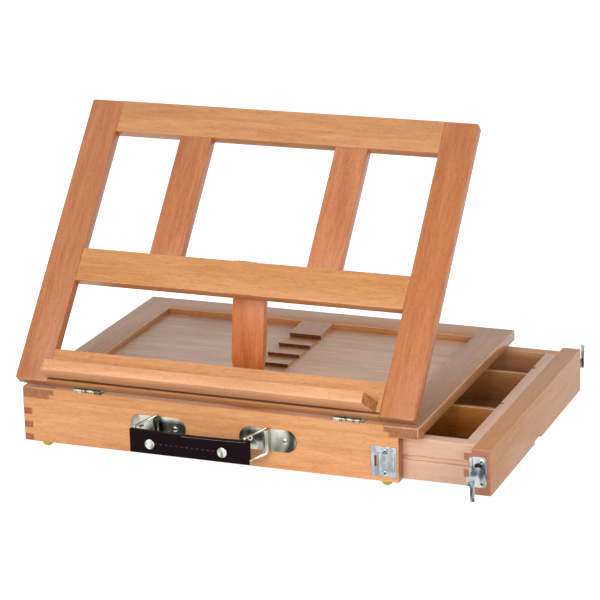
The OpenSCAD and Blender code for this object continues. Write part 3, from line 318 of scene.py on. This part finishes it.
def makeNickel(kind):
    # stamped or drawn steel, nickel plated: a cool mirror that is faintly wavy from the press
    look = metals[kind]
    material, tree, shader, place = newMaterial(f"nickelPlatedSteel{kind.capitalize()}")
    shader.inputs["Metallic"].default_value = 1.0
    squeezed = addNode(tree, "ShaderNodeMapping", {"Scale": (1, 1, 0.45)}, {"Vector": place["Object"]})
    cloud = addNode(tree, "ShaderNodeTexNoise", {"Scale": 1 / (look["cloud"] * mm), "Detail": 1.5},
                    {"Vector": squeezed.outputs["Vector"]})
    # clouds between the dark and light tones; on the handle plates they are painted reflections
    tint = addNode(tree, "ShaderNodeValToRGB", {"stops": [(0.38, look["dark"]), (0.56, look["light"])]},
                   {"Fac": cloud.outputs["Fac"]})
    sheen = addNode(tree, "ShaderNodeMapRange", {"To Min": look["rough"], "To Max": look["rough"] + 0.12},
                    {"Value": cloud.outputs["Fac"]})
    dents = addNode(tree, "ShaderNodeTexNoise", {"Scale": 260.0, "Detail": 2.0}, {"Vector": place["Object"]})
    pressed = addNode(tree, "ShaderNodeBump", {"Strength": look["press"], "Distance": 0.3 * mm},
                      {"Height": dents.outputs["Fac"]})
    linkInputs(tree, shader, {"Base Color": tint.outputs["Color"], "Roughness": sheen.outputs[0],
                              "Normal": pressed.outputs["Normal"]})
    return material


def makeRecessShade():
    # the floor of a pressed cross recess: unpolished steel painted nearly black as the shade deep in the
    # recess, with a faint mottle
    material, tree, shader, place = newMaterial("steelRecessPaintedShade")
    shader.inputs["Metallic"].default_value = 0.6
    shader.inputs["Roughness"].default_value = 0.6
    recessMottle = addNode(tree, "ShaderNodeTexNoise", {"Scale": 900.0, "Detail": 2.0}, {"Vector": place["Object"]})
    tint = addNode(tree, "ShaderNodeValToRGB", {"stops": [(0.35, "#15140F"), (0.7, "#2E2C25")]},
                   {"Fac": recessMottle.outputs["Fac"]})
    linkInputs(tree, shader, {"Base Color": tint.outputs["Color"]})
    return material


def makeRubber():
    # moulded soft rubber, dyed yellow: a waxy face that gathers dust
    material, tree, shader, place = newMaterial("mouldedYellowRubber")
    shader.inputs["Roughness"].default_value = 0.48
    dust = addNode(tree, "ShaderNodeTexNoise", {"Scale": 420.0, "Detail": 3.0}, {"Vector": place["Object"]})
    tint = addNode(tree, "ShaderNodeValToRGB", {"stops": [(0.35, "#B7A50E"), (0.7, "#D6C426")]},
                   {"Fac": dust.outputs["Fac"]})
    dull = addNode(tree, "ShaderNodeBump", {"Strength": 0.2, "Distance": 0.2 * mm},
                   {"Height": dust.outputs["Fac"]})
    linkInputs(tree, shader, {"Base Color": tint.outputs["Color"], "Normal": dull.outputs["Normal"]})
    return material


def makeLeather():
    # finished cow leather, dyed dark maroon: pebbled grain about 1 mm across with a soft polish
    material, tree, shader, place = newMaterial("dyedCowLeather")
    shader.inputs["Specular IOR Level"].default_value = 0.06
    pebble = addNode(tree, "ShaderNodeTexVoronoi", {"Scale": 1100.0, "feature": "SMOOTH_F1"},
                     {"Vector": place["Object"]})
    patch = addNode(tree, "ShaderNodeTexNoise", {"Scale": 90.0, "Detail": 4.0}, {"Vector": place["Object"]})
    tint = addNode(tree, "ShaderNodeValToRGB", {"stops": [(0.35, "#0C0207"), (0.7, "#18070D")]},
                   {"Fac": patch.outputs["Fac"]})
    sheen = addNode(tree, "ShaderNodeMapRange", {"To Min": 0.42, "To Max": 0.6},
                    {"Value": patch.outputs["Fac"]})
    grain = addNode(tree, "ShaderNodeBump", {"Strength": 0.35, "Distance": 0.2 * mm},
                    {"Height": pebble.outputs["Distance"]})
    linkInputs(tree, shader, {"Base Color": tint.outputs["Color"], "Roughness": sheen.outputs[0],
                              "Normal": grain.outputs["Normal"]})
    return material


def makeEdgePaint():
    # acrylic paint on the cut edge of the leather: thin, smooth and mauve grey
    material, tree, shader, place = newMaterial("acrylicEdgePaint")
    shader.inputs["Roughness"].default_value = 0.4
    coat = addNode(tree, "ShaderNodeTexNoise", {"Scale": 300.0, "Detail": 3.0}, {"Vector": place["Object"]})
    tint = addNode(tree, "ShaderNodeValToRGB", {"stops": [(0.35, "#6E5A64"), (0.65, "#A8969E")]},
                   {"Fac": coat.outputs["Fac"]})
    linkInputs(tree, shader, {"Base Color": tint.outputs["Color"]})
    return material


def makeThread():
    # waxed polyester sewing thread, plied: dull plum with a turn every 2.4 mm
    material, tree, shader, place = newMaterial("waxedPolyesterThread")
    shader.inputs["Roughness"].default_value = 0.55
    ply = addNode(tree, "ShaderNodeTexWave",
                  {"Scale": 260.0, "Distortion": 1.0, "bands_direction": "DIAGONAL"},
                  {"Vector": place["Object"]})
    tint = addNode(tree, "ShaderNodeValToRGB", {"stops": [(0.2, "#2E1B22"), (0.8, "#57414A")]},
                   {"Fac": ply.outputs["Fac"]})
    linkInputs(tree, shader, {"Base Color": tint.outputs["Color"]})
    return material


nickel = {kind: makeNickel(kind) for kind in metals}
arris = {kind: makeArris(kind) for kind in woods if "worn" in woods[kind]}
recessShadeSteel = makeRecessShade()
edgePaint = makeEdgePaint()
yellowRubber = makeRubber()
leather = makeLeather()
thread = makeThread()
print("materials made")


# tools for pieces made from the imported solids

def pickOnly(item):
    deselectAll()
    item.select_set(True)
    bpy.context.view_layer.objects.active = item


def dropPiece(item):
    pickOnly(item)
    bpy.ops.object.delete()


def copyOf(nodeName, pieceName):
    pickOnly(frame["nodes"][nodeName])
    bpy.ops.object.duplicate()
    piece = bpy.context.object
    piece.name = pieceName
    piece.data.name = pieceName
    piece.parent = None
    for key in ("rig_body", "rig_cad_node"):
        if key in piece:
            del piece[key]
    piece.data.materials.clear()
    bpy.ops.object.mode_set(mode="EDIT")
    bpy.ops.mesh.select_all(action="SELECT")
    bpy.ops.mesh.customdata_custom_splitnormals_clear()
    bpy.ops.mesh.remove_doubles(threshold=0.002 * mm)
    bpy.ops.mesh.dissolve_limited(angle_limit=math.radians(0.6))
    bpy.ops.object.mode_set(mode="OBJECT")
    return piece


def applyModifier(piece, kind, **settings):
    pickOnly(piece)
    modifier = piece.modifiers.new(kind.lower(), kind)
    for key, value in settings.items():
        setattr(modifier, key, value)
    bpy.ops.object.modifier_apply(modifier=modifier.name)


def smooth(piece, angle):
    pickOnly(piece)
    bpy.ops.object.shade_smooth_by_angle(angle=math.radians(angle))


def softenEdges(piece, width, segments=2, edgeSlot=-1):
    applyModifier(piece, "BEVEL", width=width, segments=segments, limit_method="ANGLE", material=edgeSlot,
                  angle_limit=math.radians(30), harden_normals=False, use_clamp_overlap=True)
    smooth(piece, angle=35)


def subtract(piece, cutter):
    applyModifier(piece, "BOOLEAN", operation="DIFFERENCE", object=cutter, solver="EXACT")
    dropPiece(cutter)


def cutAway(piece, cutter):
    # the cut takes the piece's last material
    cutter.data.materials.clear()
    for material in piece.data.materials:
        cutter.data.materials.append(material)
    for face in cutter.data.polygons:
        face.material_index = len(piece.data.materials) - 1
    subtract(piece, cutter)


def shapeTo(piece, size):
    # size in mm
    piece.scale = tuple(length * mm for length in size)
    bpy.ops.object.transform_apply(location=True, rotation=True, scale=True)


def joinPieces(pieces, name):
    deselectAll()
    for piece in pieces:
        piece.select_set(True)
    bpy.context.view_layer.objects.active = pieces[0]
    bpy.ops.object.join()
    joined = bpy.context.object
    joined.name = name
    return joined


def finishPiece(piece, body, nodeName=None):
    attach(piece, body)
    if nodeName:
        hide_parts(nodeName)


bodyOf = {member: bodyName for bodyName, members in frame["record"]["behaviour"]["bodies"].items()
          for member in members}


# the boards

alongSlope = Vector((0, math.cos(tilt), math.sin(tilt)))   # up the canvas frame at rest
offFace = Vector((0, -math.sin(tilt), math.cos(tilt)))     # out of its front face
# end grain of the ratchet's cut faces, darker than the wood's own end grain: painted shade in the slots
shadedToothEnd = "#6E3C1C"                                       # the dark cut faces of the ratchet
# how far up the slope the ledge begins
ledgeFoot = min(vertex.co.dot(alongSlope) for vertex in frame["nodes"]["canvas_ledge"].data.vertices)

# each board: its wood, the run of its grain and how far its arrises are broken (mm); where they differ
# from the wood's own, how light, how deep and how glossy it is, and the tone of its end grain; and up the
# slope, where the painted shadow and dust under the ledge begin
boards = {
    "front_wall": {"wood": "beech", "grain": "x", "edge": 0.5, "light": 0.13, "deep": -0.02},
    "back_wall": {"wood": "beech", "grain": "x", "edge": 0.5},
    "left_wall": {"wood": "beechRed", "grain": "y", "edge": 0.4, "light": 0.1, "deep": -0.1},
    "lid_rail_left": {"wood": "beech", "grain": "y", "edge": 0.7, "light": -0.36, "gloss": 0.04},
    "lid_rail_right": {"wood": "beech", "grain": "y", "edge": 0.9, "light": -0.38, "gloss": 0.04},
    "lid_rail_front": {"wood": "beech", "grain": "x", "edge": 0.5},
    "lid_rail_back": {"wood": "beech", "grain": "x", "edge": 0.5, "light": -0.3, "deep": 0.05,
                      "gloss": 0.06},
    # the ratchet's cut faces take the darker end tone as painted shade in its slots
    "ratchet_rail": {"wood": "beech", "grain": "y", "edge": 0.0, "light": -0.34, "deep": -0.05,
                     "gloss": 0.06, "endTone": shadedToothEnd},
    "ratchet_teeth": {"wood": "beech", "grain": "y", "edge": 0.0, "light": -0.34, "deep": -0.05,
                      "gloss": 0.06, "endTone": shadedToothEnd},
    "lid_panel_left": {"wood": "plywood", "grain": "x", "edge": 0.0, "deep": -0.12},
    "lid_panel_right": {"wood": "plywood", "grain": "x", "edge": 0.0, "light": 0.06, "deep": -0.04},
    "runner_front": {"wood": "beech", "grain": "x", "edge": 0.4},
    "runner_back": {"wood": "beech", "grain": "x", "edge": 0.4},
    "drawer_front": {"wood": "beechPale", "grain": "y", "edge": 0.8, "light": -0.18, "deep": 0.45,
                     "gloss": 0.1},
    "drawer_end_right": {"wood": "beechPale", "grain": "y", "edge": 0.4, "light": 0.05, "gloss": 0.14},
    "drawer_end_left": {"wood": "beechPale", "grain": "y", "edge": 0.4, "light": -0.08, "deep": 0.3},
    "drawer_side_front": {"wood": "beechPale", "grain": "x", "edge": 0.4, "light": 0.1, "deep": -0.03,
                          "gloss": 0.08},
    "drawer_side_back": {"wood": "beechPale", "grain": "x", "edge": 0.4, "light": -0.08, "deep": 0.3},
    # the drawer floor is darkened and deepened as painted shade inside the drawer
    "drawer_floor": {"wood": "plywood", "grain": "y", "edge": 0.0, "light": -0.35, "deep": 0.5},
    "divider_front": {"wood": "beechPale", "grain": "x", "edge": 0.5, "light": -0.14, "deep": 0.6},
    "divider_back": {"wood": "beechPale", "grain": "x", "edge": 0.5, "light": -0.18, "deep": 0.45},
    "frame_stile_left": {"wood": "beechRed", "grain": "slope", "edge": 0.9, "light": -0.04, "deep": -0.02},
    "frame_stile_right": {"wood": "beechRed", "grain": "slope", "edge": 0.9, "light": 0.04, "deep": 0.02},
    "frame_top_rail": {"wood": "beech", "grain": "slopeX", "edge": 0.6, "light": -0.1},
    "frame_middle_rail": {"wood": "beech", "grain": "slopeX", "edge": 0.6, "light": -0.06, "deep": 0.04},
    # below the ledge this rail carries painted shadow and dust
    "frame_bottom_rail": {"wood": "beech", "grain": "slopeX", "edge": 0.6, "light": 0.06,
                          "shadowAndGrimeBelow": ledgeFoot},
    "frame_mullion_left": {"wood": "beechRed", "grain": "slope", "edge": 0.6, "light": 0.02},
    "frame_mullion_right": {"wood": "beechRed", "grain": "slope", "edge": 0.6, "light": 0.14, "deep": -0.02},
    "canvas_ledge": {"wood": "beech", "grain": "slopeX", "edge": 0.9, "light": 0.16, "deep": -0.06,
                     "endTone": "#C48452"},
    "support_leg": {"wood": "beechRed", "grain": "leg", "edge": 0.7, "light": 0.13, "deep": 0.05},
}

# the ledge stands off the frame by a hair along its lower back edge, and by more near its left end;
# the cutters reach past the ledge by "over" (mm)
ledgeGap = {"depth": 1.7, "height": 8, "wideFrom": 30, "wideTo": 57, "wideDepth": 3.6, "over": 1}


def addLedgeGap(ledge):
    points = [vertex.co.copy() for vertex in ledge.data.vertices]
    foot = min(point.dot(alongSlope) for point in points)
    face = min(point.dot(offFace) for point in points)
    left = min(point.x for point in points)
    right = max(point.x for point in points)
    over = ledgeGap["over"] * mm
    wideStart, wideEnd = left + ledgeGap["wideFrom"] * mm, left + ledgeGap["wideTo"] * mm
    for start, end, depth in ((left - over, right + over, ledgeGap["depth"]),
                              (wideStart, wideEnd, ledgeGap["wideDepth"])):
        deselectAll()
        bpy.ops.mesh.primitive_cube_add(size=2)
        bar = bpy.context.object
        for vertex in bar.data.vertices:
            x = start if vertex.co.x < 0 else end
            up = foot + (ledgeGap["height"] * mm if vertex.co.y > 0 else -over)
            out = face + (depth * mm if vertex.co.z > 0 else -over)
            vertex.co = Vector((x, 0, 0)) + alongSlope * up + offFace * out
        subtract(ledge, bar)


for seed, (nodeName, board) in enumerate(boards.items(), start=1):
    piece = copyOf(nodeName, nodeName.replace("_", "-"))
    if nodeName == "canvas_ledge":
        addLedgeGap(piece)
    piece.data.materials.append(makeWood(board, seed))
    if board["edge"]:
        piece.data.materials.append(arris[board["wood"]])
        softenEdges(piece, board["edge"] * mm, edgeSlot=1)
    finishPiece(piece, bodyOf[nodeName], nodeName)
print("boards made")


# the fittings

# each pressed or turned fitting: how far its edges are rounded (mm) and its finish
fittings = {
    "handle_plate_left": (0.35, "plate"), "handle_plate_right": (0.35, "plate"),
    "keeper_front": (0.4, "keeper"), "keeper_back": (0.4, "keeper"), "catch_plate": (0.4, "clasp"),
    "latch_plate_front": (0.4, "clasp"), "latch_plate_back": (0.4, "clasp"),
    "latch_lever_front": (0.3, "lever"), "latch_lever_back": (0.3, "lever"), "catch_lever": (0.3, "lever"),
    "latch_pins": (0.15, "bright"), "catch_pin": (0.15, "bright"), "top_strike": (0.2, "clasp"),
    "hinge_leaves_lower": (0.12, "hinge"), "hinge_leaves_upper": (0.12, "hinge"),
    "hinge_pins": (0.1, "hinge"), "hinge_screws_lower": (0.1, "hinge"), "hinge_screws_upper": (0.1, "hinge"),
    "leg_hinge_fixed": (0.1, "hinge"), "leg_hinge_moving": (0.1, "hinge"), "leg_hinge_pin": (0.1, "hinge"),
    "leg_hinge_screws": (0.1, "hinge"), "ledge_screws": (0.1, "bright"), "ring_left": (0.0, "wire"),
    "ring_right": (0.0, "wire"), "grip_rivets": (0.9, "bright"),
}

# a shallow pocket painted near black over the spring housing of each clasp plate, as painted shade (mm): its
# size, its place from the plate's middle, and the thickness of the plate's sheet; on the back clasp it lies
# below the middle
shadedPocket = {"width": 7.6, "height": 5.4, "depth": 0.7, "across": 0.4, "sheet": 1}
shadedPocketUp = {"latch_plate_front": 6.6, "latch_plate_back": -6.6}


# cuts the shallow pocket and gives its floor the near-black steel: painted shade
def addShadedPocket(plate, nodeName):
    low, high = (Vector(corner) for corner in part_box(nodeName))
    outward = -1 if low.y + high.y < 0 else 1
    sheetFace = (high.y if outward < 0 else low.y) + outward * shadedPocket["sheet"] * mm
    middle = (low + high) / 2
    deselectAll()
    bpy.ops.mesh.primitive_cylinder_add(vertices=24, radius=0.5, depth=1, rotation=(math.pi / 2, 0, 0))
    bar = bpy.context.object
    shapeTo(bar, (shadedPocket["width"], shadedPocket["height"], shadedPocket["depth"] * 2))
    bar.data.transform(Matrix.Translation((middle.x + shadedPocket["across"] * mm, sheetFace,
                                           middle.z + shadedPocketUp[nodeName] * mm)))
    cutAway(plate, bar)


for nodeName, (edge, finish) in fittings.items():
    piece = copyOf(nodeName, nodeName.replace("_", "-"))
    if edge:
        softenEdges(piece, edge * mm, segments=3)
    piece.data.materials.append(nickel[finish])
    # clasp plates get a near-black pocket: painted shade
    if nodeName in shadedPocketUp:
        piece.data.materials.append(recessShadeSteel)
        addShadedPocket(piece, nodeName)
    finishPiece(piece, bodyOf[nodeName], nodeName)
print("fittings made")


# the screws

# cross recessed wood screw with a pan head (mm); its dome is three rings, each set in from the last and
# lifted by a share of the dome's rise; the screws stand turned by different angles (degrees)
woodScrew = {"radius": 2.7, "rim": 0.35, "height": 1.15, "shank": 1.1, "length": 5,
             "armLength": 3.2, "armWidth": 0.9, "recess": 0.7,
             "dome": ((0.45, 0.5), (0.75, 0.33), (0.8, 0.17)), "firstTurn": 17, "nextTurn": 41}


def makeWoodScrew():
    deselectAll()
    rim = woodScrew["rim"] * mm
    bpy.ops.mesh.primitive_cylinder_add(vertices=28, radius=woodScrew["radius"] * mm, depth=rim,
                                        location=(0, 0, rim / 2))
    screw = bpy.context.object
    bpy.ops.object.transform_apply(location=True, rotation=False, scale=False)
    bpy.ops.object.mode_set(mode="EDIT")
    rise = woodScrew["height"] - woodScrew["rim"]
    # the dome grows from the upper face, and the shank is drawn out of the underside
    for side, steps in ((1, woodScrew["dome"]), (-1, ((woodScrew["radius"] - woodScrew["shank"], 0.0),))):
        mesh = bmesh.from_edit_mesh(screw.data)
        for face in mesh.faces:
            face.select_set(face.normal.z * side > 0.9 and len(face.verts) > 4)
        bmesh.update_edit_mesh(screw.data)
        for inset, share in steps:
            bpy.ops.mesh.inset(thickness=inset * mm, depth=0)
            bpy.ops.transform.translate(value=(0, 0, rise * share * side * mm))
    bpy.ops.mesh.extrude_region_move(TRANSFORM_OT_translate={"value": (0, 0, -woodScrew["length"] * mm)})
    bpy.ops.object.mode_set(mode="OBJECT")
    screw.data.materials.append(nickel["bright"])
    # the cross recess takes the near-black steel: painted shade
    screw.data.materials.append(recessShadeSteel)
    for turn in (0, math.pi / 2):
        deselectAll()
        bpy.ops.mesh.primitive_cube_add(size=1, location=(0, 0, woodScrew["height"] * mm),
                                        rotation=(0, 0, turn))
        bar = bpy.context.object
        shapeTo(bar, (woodScrew["armLength"], woodScrew["armWidth"], woodScrew["recess"] * 2))
        cutAway(screw, bar)
    smooth(screw, angle=40)
    return screw


def looseBoxes(nodeName):
    # the lowest and highest corner of each solid in a node
    measured = copyOf(nodeName, "measured")
    bpy.ops.object.mode_set(mode="EDIT")
    bpy.ops.mesh.select_all(action="SELECT")
    bpy.ops.mesh.separate(type="LOOSE")
    bpy.ops.object.mode_set(mode="OBJECT")
    parts = list(bpy.context.selected_objects)
    corners = []
    for part in parts:
        points = [vertex.co for vertex in part.data.vertices]
        corners.append([[pick(point[axis] for point in points) for axis in range(3)] for pick in (min, max)])
    for part in parts:
        dropPiece(part)
    return corners


def placeScrew(master, number, low, high):
    outward = -1 if low[1] + high[1] < 0 else 1
    height = woodScrew["height"] * mm
    seat = (low[1] if outward < 0 else high[1]) - outward * height
    pickOnly(master)
    bpy.ops.object.duplicate()
    screw = bpy.context.object
    for vertex in screw.data.vertices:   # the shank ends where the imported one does
        if vertex.co.z < -1 * mm:
            vertex.co.z = height - (high[1] - low[1])
    turn = Matrix.Rotation(math.radians(woodScrew["firstTurn"] + woodScrew["nextTurn"] * number), 4, "Z")
    stand = Matrix.Rotation(math.radians(90 if outward < 0 else -90), 4, "X")
    spot = Matrix.Translation(((low[0] + high[0]) / 2, seat, (low[2] + high[2]) / 2))
    screw.data.transform(spot @ stand @ turn)
    return screw


screwMaster = makeWoodScrew()
for nodeName in ("case_screws", "latch_screws"):
    row = [placeScrew(screwMaster, number, low, high)
           for number, (low, high) in enumerate(looseBoxes(nodeName))]
    screws = joinPieces(row, nodeName.replace("_", "-"))
    finishPiece(screws, bodyOf[nodeName], nodeName)
dropPiece(screwMaster)
print("screws made")


# the feet and the strap

feetEdge = 0.5   # mm

feet = copyOf("rubber_feet", "rubber-feet")
softenEdges(feet, feetEdge * mm)
feet.data.materials.append(yellowRubber)
finishPiece(feet, "case", "rubber_feet")

# a folded and sewn band: how far its edges are rounded and how far its upper edge sags (mm)
strap = {"edge": 1.0, "dip": 1.2}
# its row of lockstitch between the two rivets, a little above their middle: each stitch is a short rod
# with tapered ends that dive into the leather (mm, and degrees for its lean)
sewing = {"length": 4.2, "pitch": 5.4, "radius": 0.3, "clearOfRivet": 8.5, "above": 0.6, "sunk": 0.05,
          "lean": 5, "taper": 0.35, "dive": 0.42}
# the inner layer's painted edge: a fine pale line on the upper front edge, from a share of the strap's
# half length left of its middle to near its right end (mm)
seamLine = {"radius": 0.42, "inset": 0.36, "leftShare": 0.12, "endClear": 3, "steps": 24}

grip = copyOf("leather_grip", "leather-grip")
softenEdges(grip, strap["edge"] * mm, segments=3)
grip.data.materials.append(leather)
finishPiece(grip, "grip", "leather_grip")

gripLow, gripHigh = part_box("leather_grip")
rivetLow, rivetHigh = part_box("grip_rivets")


def makeStitch():
    deselectAll()
    bpy.ops.mesh.primitive_cylinder_add(vertices=10, radius=sewing["radius"] * mm,
                                        depth=sewing["length"] * mm)
    stitch = bpy.context.object
    bpy.ops.object.mode_set(mode="EDIT")
    bpy.ops.mesh.select_all(action="SELECT")
    bpy.ops.mesh.subdivide(number_cuts=1)
    bpy.ops.object.mode_set(mode="OBJECT")
    for vertex in stitch.data.vertices:
        share = abs(vertex.co.z) / (sewing["length"] * mm / 2)
        vertex.co.y *= 1 - sewing["taper"] * share
        vertex.co.y += sewing["dive"] * mm * share ** 2
    stitch.data.materials.append(thread)
    return stitch


def placeStitch(master, number, start, height):
    pickOnly(master)
    bpy.ops.object.duplicate()
    stitch = bpy.context.object
    lean = Matrix.Rotation(math.radians(90 + sewing["lean"] * (-1) ** number), 4, "Y")
    along = start + (number + 0.5) * sewing["pitch"] * mm
    spot = Matrix.Translation((along, gripLow[1] - sewing["sunk"] * mm, height))
    stitch.data.transform(spot @ lean)
    return stitch


def makeStitches():
    start = rivetLow[0] + sewing["clearOfRivet"] * mm
    end = rivetHigh[0] - sewing["clearOfRivet"] * mm
    count = int((end - start) / (sewing["pitch"] * mm)) + 1
    height = (rivetLow[2] + rivetHigh[2]) / 2 + sewing["above"] * mm
    master = makeStitch()
    row = joinPieces([placeStitch(master, number, start, height) for number in range(count)],
                     "grip-stitches")
    dropPiece(master)
    smooth(row, angle=50)
    finishPiece(row, "grip")


def makeSeam():
    middle = (gripLow[0] + gripHigh[0]) / 2
    half = (gripHigh[0] - gripLow[0]) / 2
    start = middle - seamLine["leftShare"] * half
    run = middle + half - seamLine["endClear"] * mm - start
    inset = seamLine["inset"] * mm
    points = []
    for number in range(seamLine["steps"] + 1):
        x = start + run * number / seamLine["steps"]
        drop = strap["dip"] * mm * (1 - ((x - middle) / half) ** 2)
        points.append((x, gripLow[1] + inset, gripHigh[2] - drop - inset))
    deselectAll()
    bpy.ops.mesh.primitive_circle_add(vertices=8, radius=seamLine["radius"] * mm, fill_type="NGON",
                                      location=points[0], rotation=(0, math.pi / 2, 0))
    seam = bpy.context.object
    seam.name = "grip-edge-paint"
    bpy.ops.object.transform_apply(location=True, rotation=True, scale=False)
    bpy.ops.object.mode_set(mode="EDIT")
    bpy.ops.mesh.select_all(action="SELECT")
    for before, after in zip(points, points[1:]):
        step = tuple(after[axis] - before[axis] for axis in range(3))
        bpy.ops.mesh.extrude_region_move(TRANSFORM_OT_translate={"value": step})
    bpy.ops.mesh.select_all(action="SELECT")
    bpy.ops.mesh.normals_make_consistent(inside=False)
    bpy.ops.object.mode_set(mode="OBJECT")
    seam.data.materials.append(edgePaint)
    smooth(seam, angle=50)
    finishPiece(seam, "grip")


makeStitches()
makeSeam()
print("feet and grip made")


# the studio

# square white lamps that face the object: place and size in m, power in W
lamps = {
    "front": {"place": (-0.45, -2.75, 1.25), "size": 1.8, "power": 55},
    "right": {"place": (2.4, -1.3, 0.9), "size": 1.4, "power": 24},
    "overhead": {"place": (-0.3, 0.3, 2.2), "size": 2.0, "power": 5},
    "backRight": {"place": (2.1, 2.2, 1.2), "size": 1.8, "power": 18},
}
lampTarget = Vector((0, 0, 0.1))
# a dull white floor just under the feet (m), and the share of its white that the sky gives to the wood
studioFloor = {"size": 24, "height": -0.0005, "tone": 0.5, "rough": 0.9}
skyLight = 0.22


def addLamp(name, lamp):
    bpy.ops.object.light_add(type="AREA", location=lamp["place"])
    light = bpy.context.object
    light.name = name
    light.data.size = lamp["size"]
    light.data.energy = lamp["power"]
    aim = lampTarget - Vector(lamp["place"])
    light.rotation_euler = aim.to_track_quat("-Z", "Y").to_euler()


def raysOf(tree, *kinds):
    # 1 for rays of any of these kinds
    path = addNode(tree, "ShaderNodeLightPath")
    seen = path.outputs[kinds[0]]
    for kind in kinds[1:]:
        either = addNode(tree, "ShaderNodeMath", {"operation": "MAXIMUM"}, {0: seen, 1: path.outputs[kind]})
        seen = either.outputs[0]
    return seen


def addFloor():
    # white to the eye and in reflections
    bpy.ops.mesh.primitive_plane_add(size=studioFloor["size"], location=(0, 0, studioFloor["height"]))
    floor = bpy.context.object
    floor.name = "studioFloor"
    paint, tree, shader = newMaterial("matWhiteFloor")[:3]
    shader.inputs["Base Color"].default_value = (studioFloor["tone"],) * 3 + (1,)
    shader.inputs["Roughness"].default_value = studioFloor["rough"]
    shader.inputs["Emission Color"].default_value = (1, 1, 1, 1)
    linkInputs(tree, shader, {"Emission Strength": raysOf(tree, "Is Camera Ray", "Is Glossy Ray")})
    floor.data.materials.append(paint)


def addSky():
    # white to the eye, in reflections and through things, and dim as a source of light
    world = bpy.data.worlds.new("studio")
    bpy.context.scene.world = world
    world.use_nodes = True
    tree = world.node_tree
    sky = tree.nodes["Background"]
    seen = raysOf(tree, "Is Camera Ray", "Is Glossy Ray", "Is Transmission Ray")
    level = addNode(tree, "ShaderNodeMapRange", {"To Min": skyLight, "To Max": 1.0}, {"Value": seen})
    sky.inputs["Color"].default_value = (1, 1, 1, 1)
    linkInputs(tree, sky, {"Strength": level.outputs[0]})


for name, lamp in lamps.items():
    addLamp(name, lamp)
addFloor()
addSky()
bpy.context.scene.view_settings.view_transform = "Standard"
print("studio made")
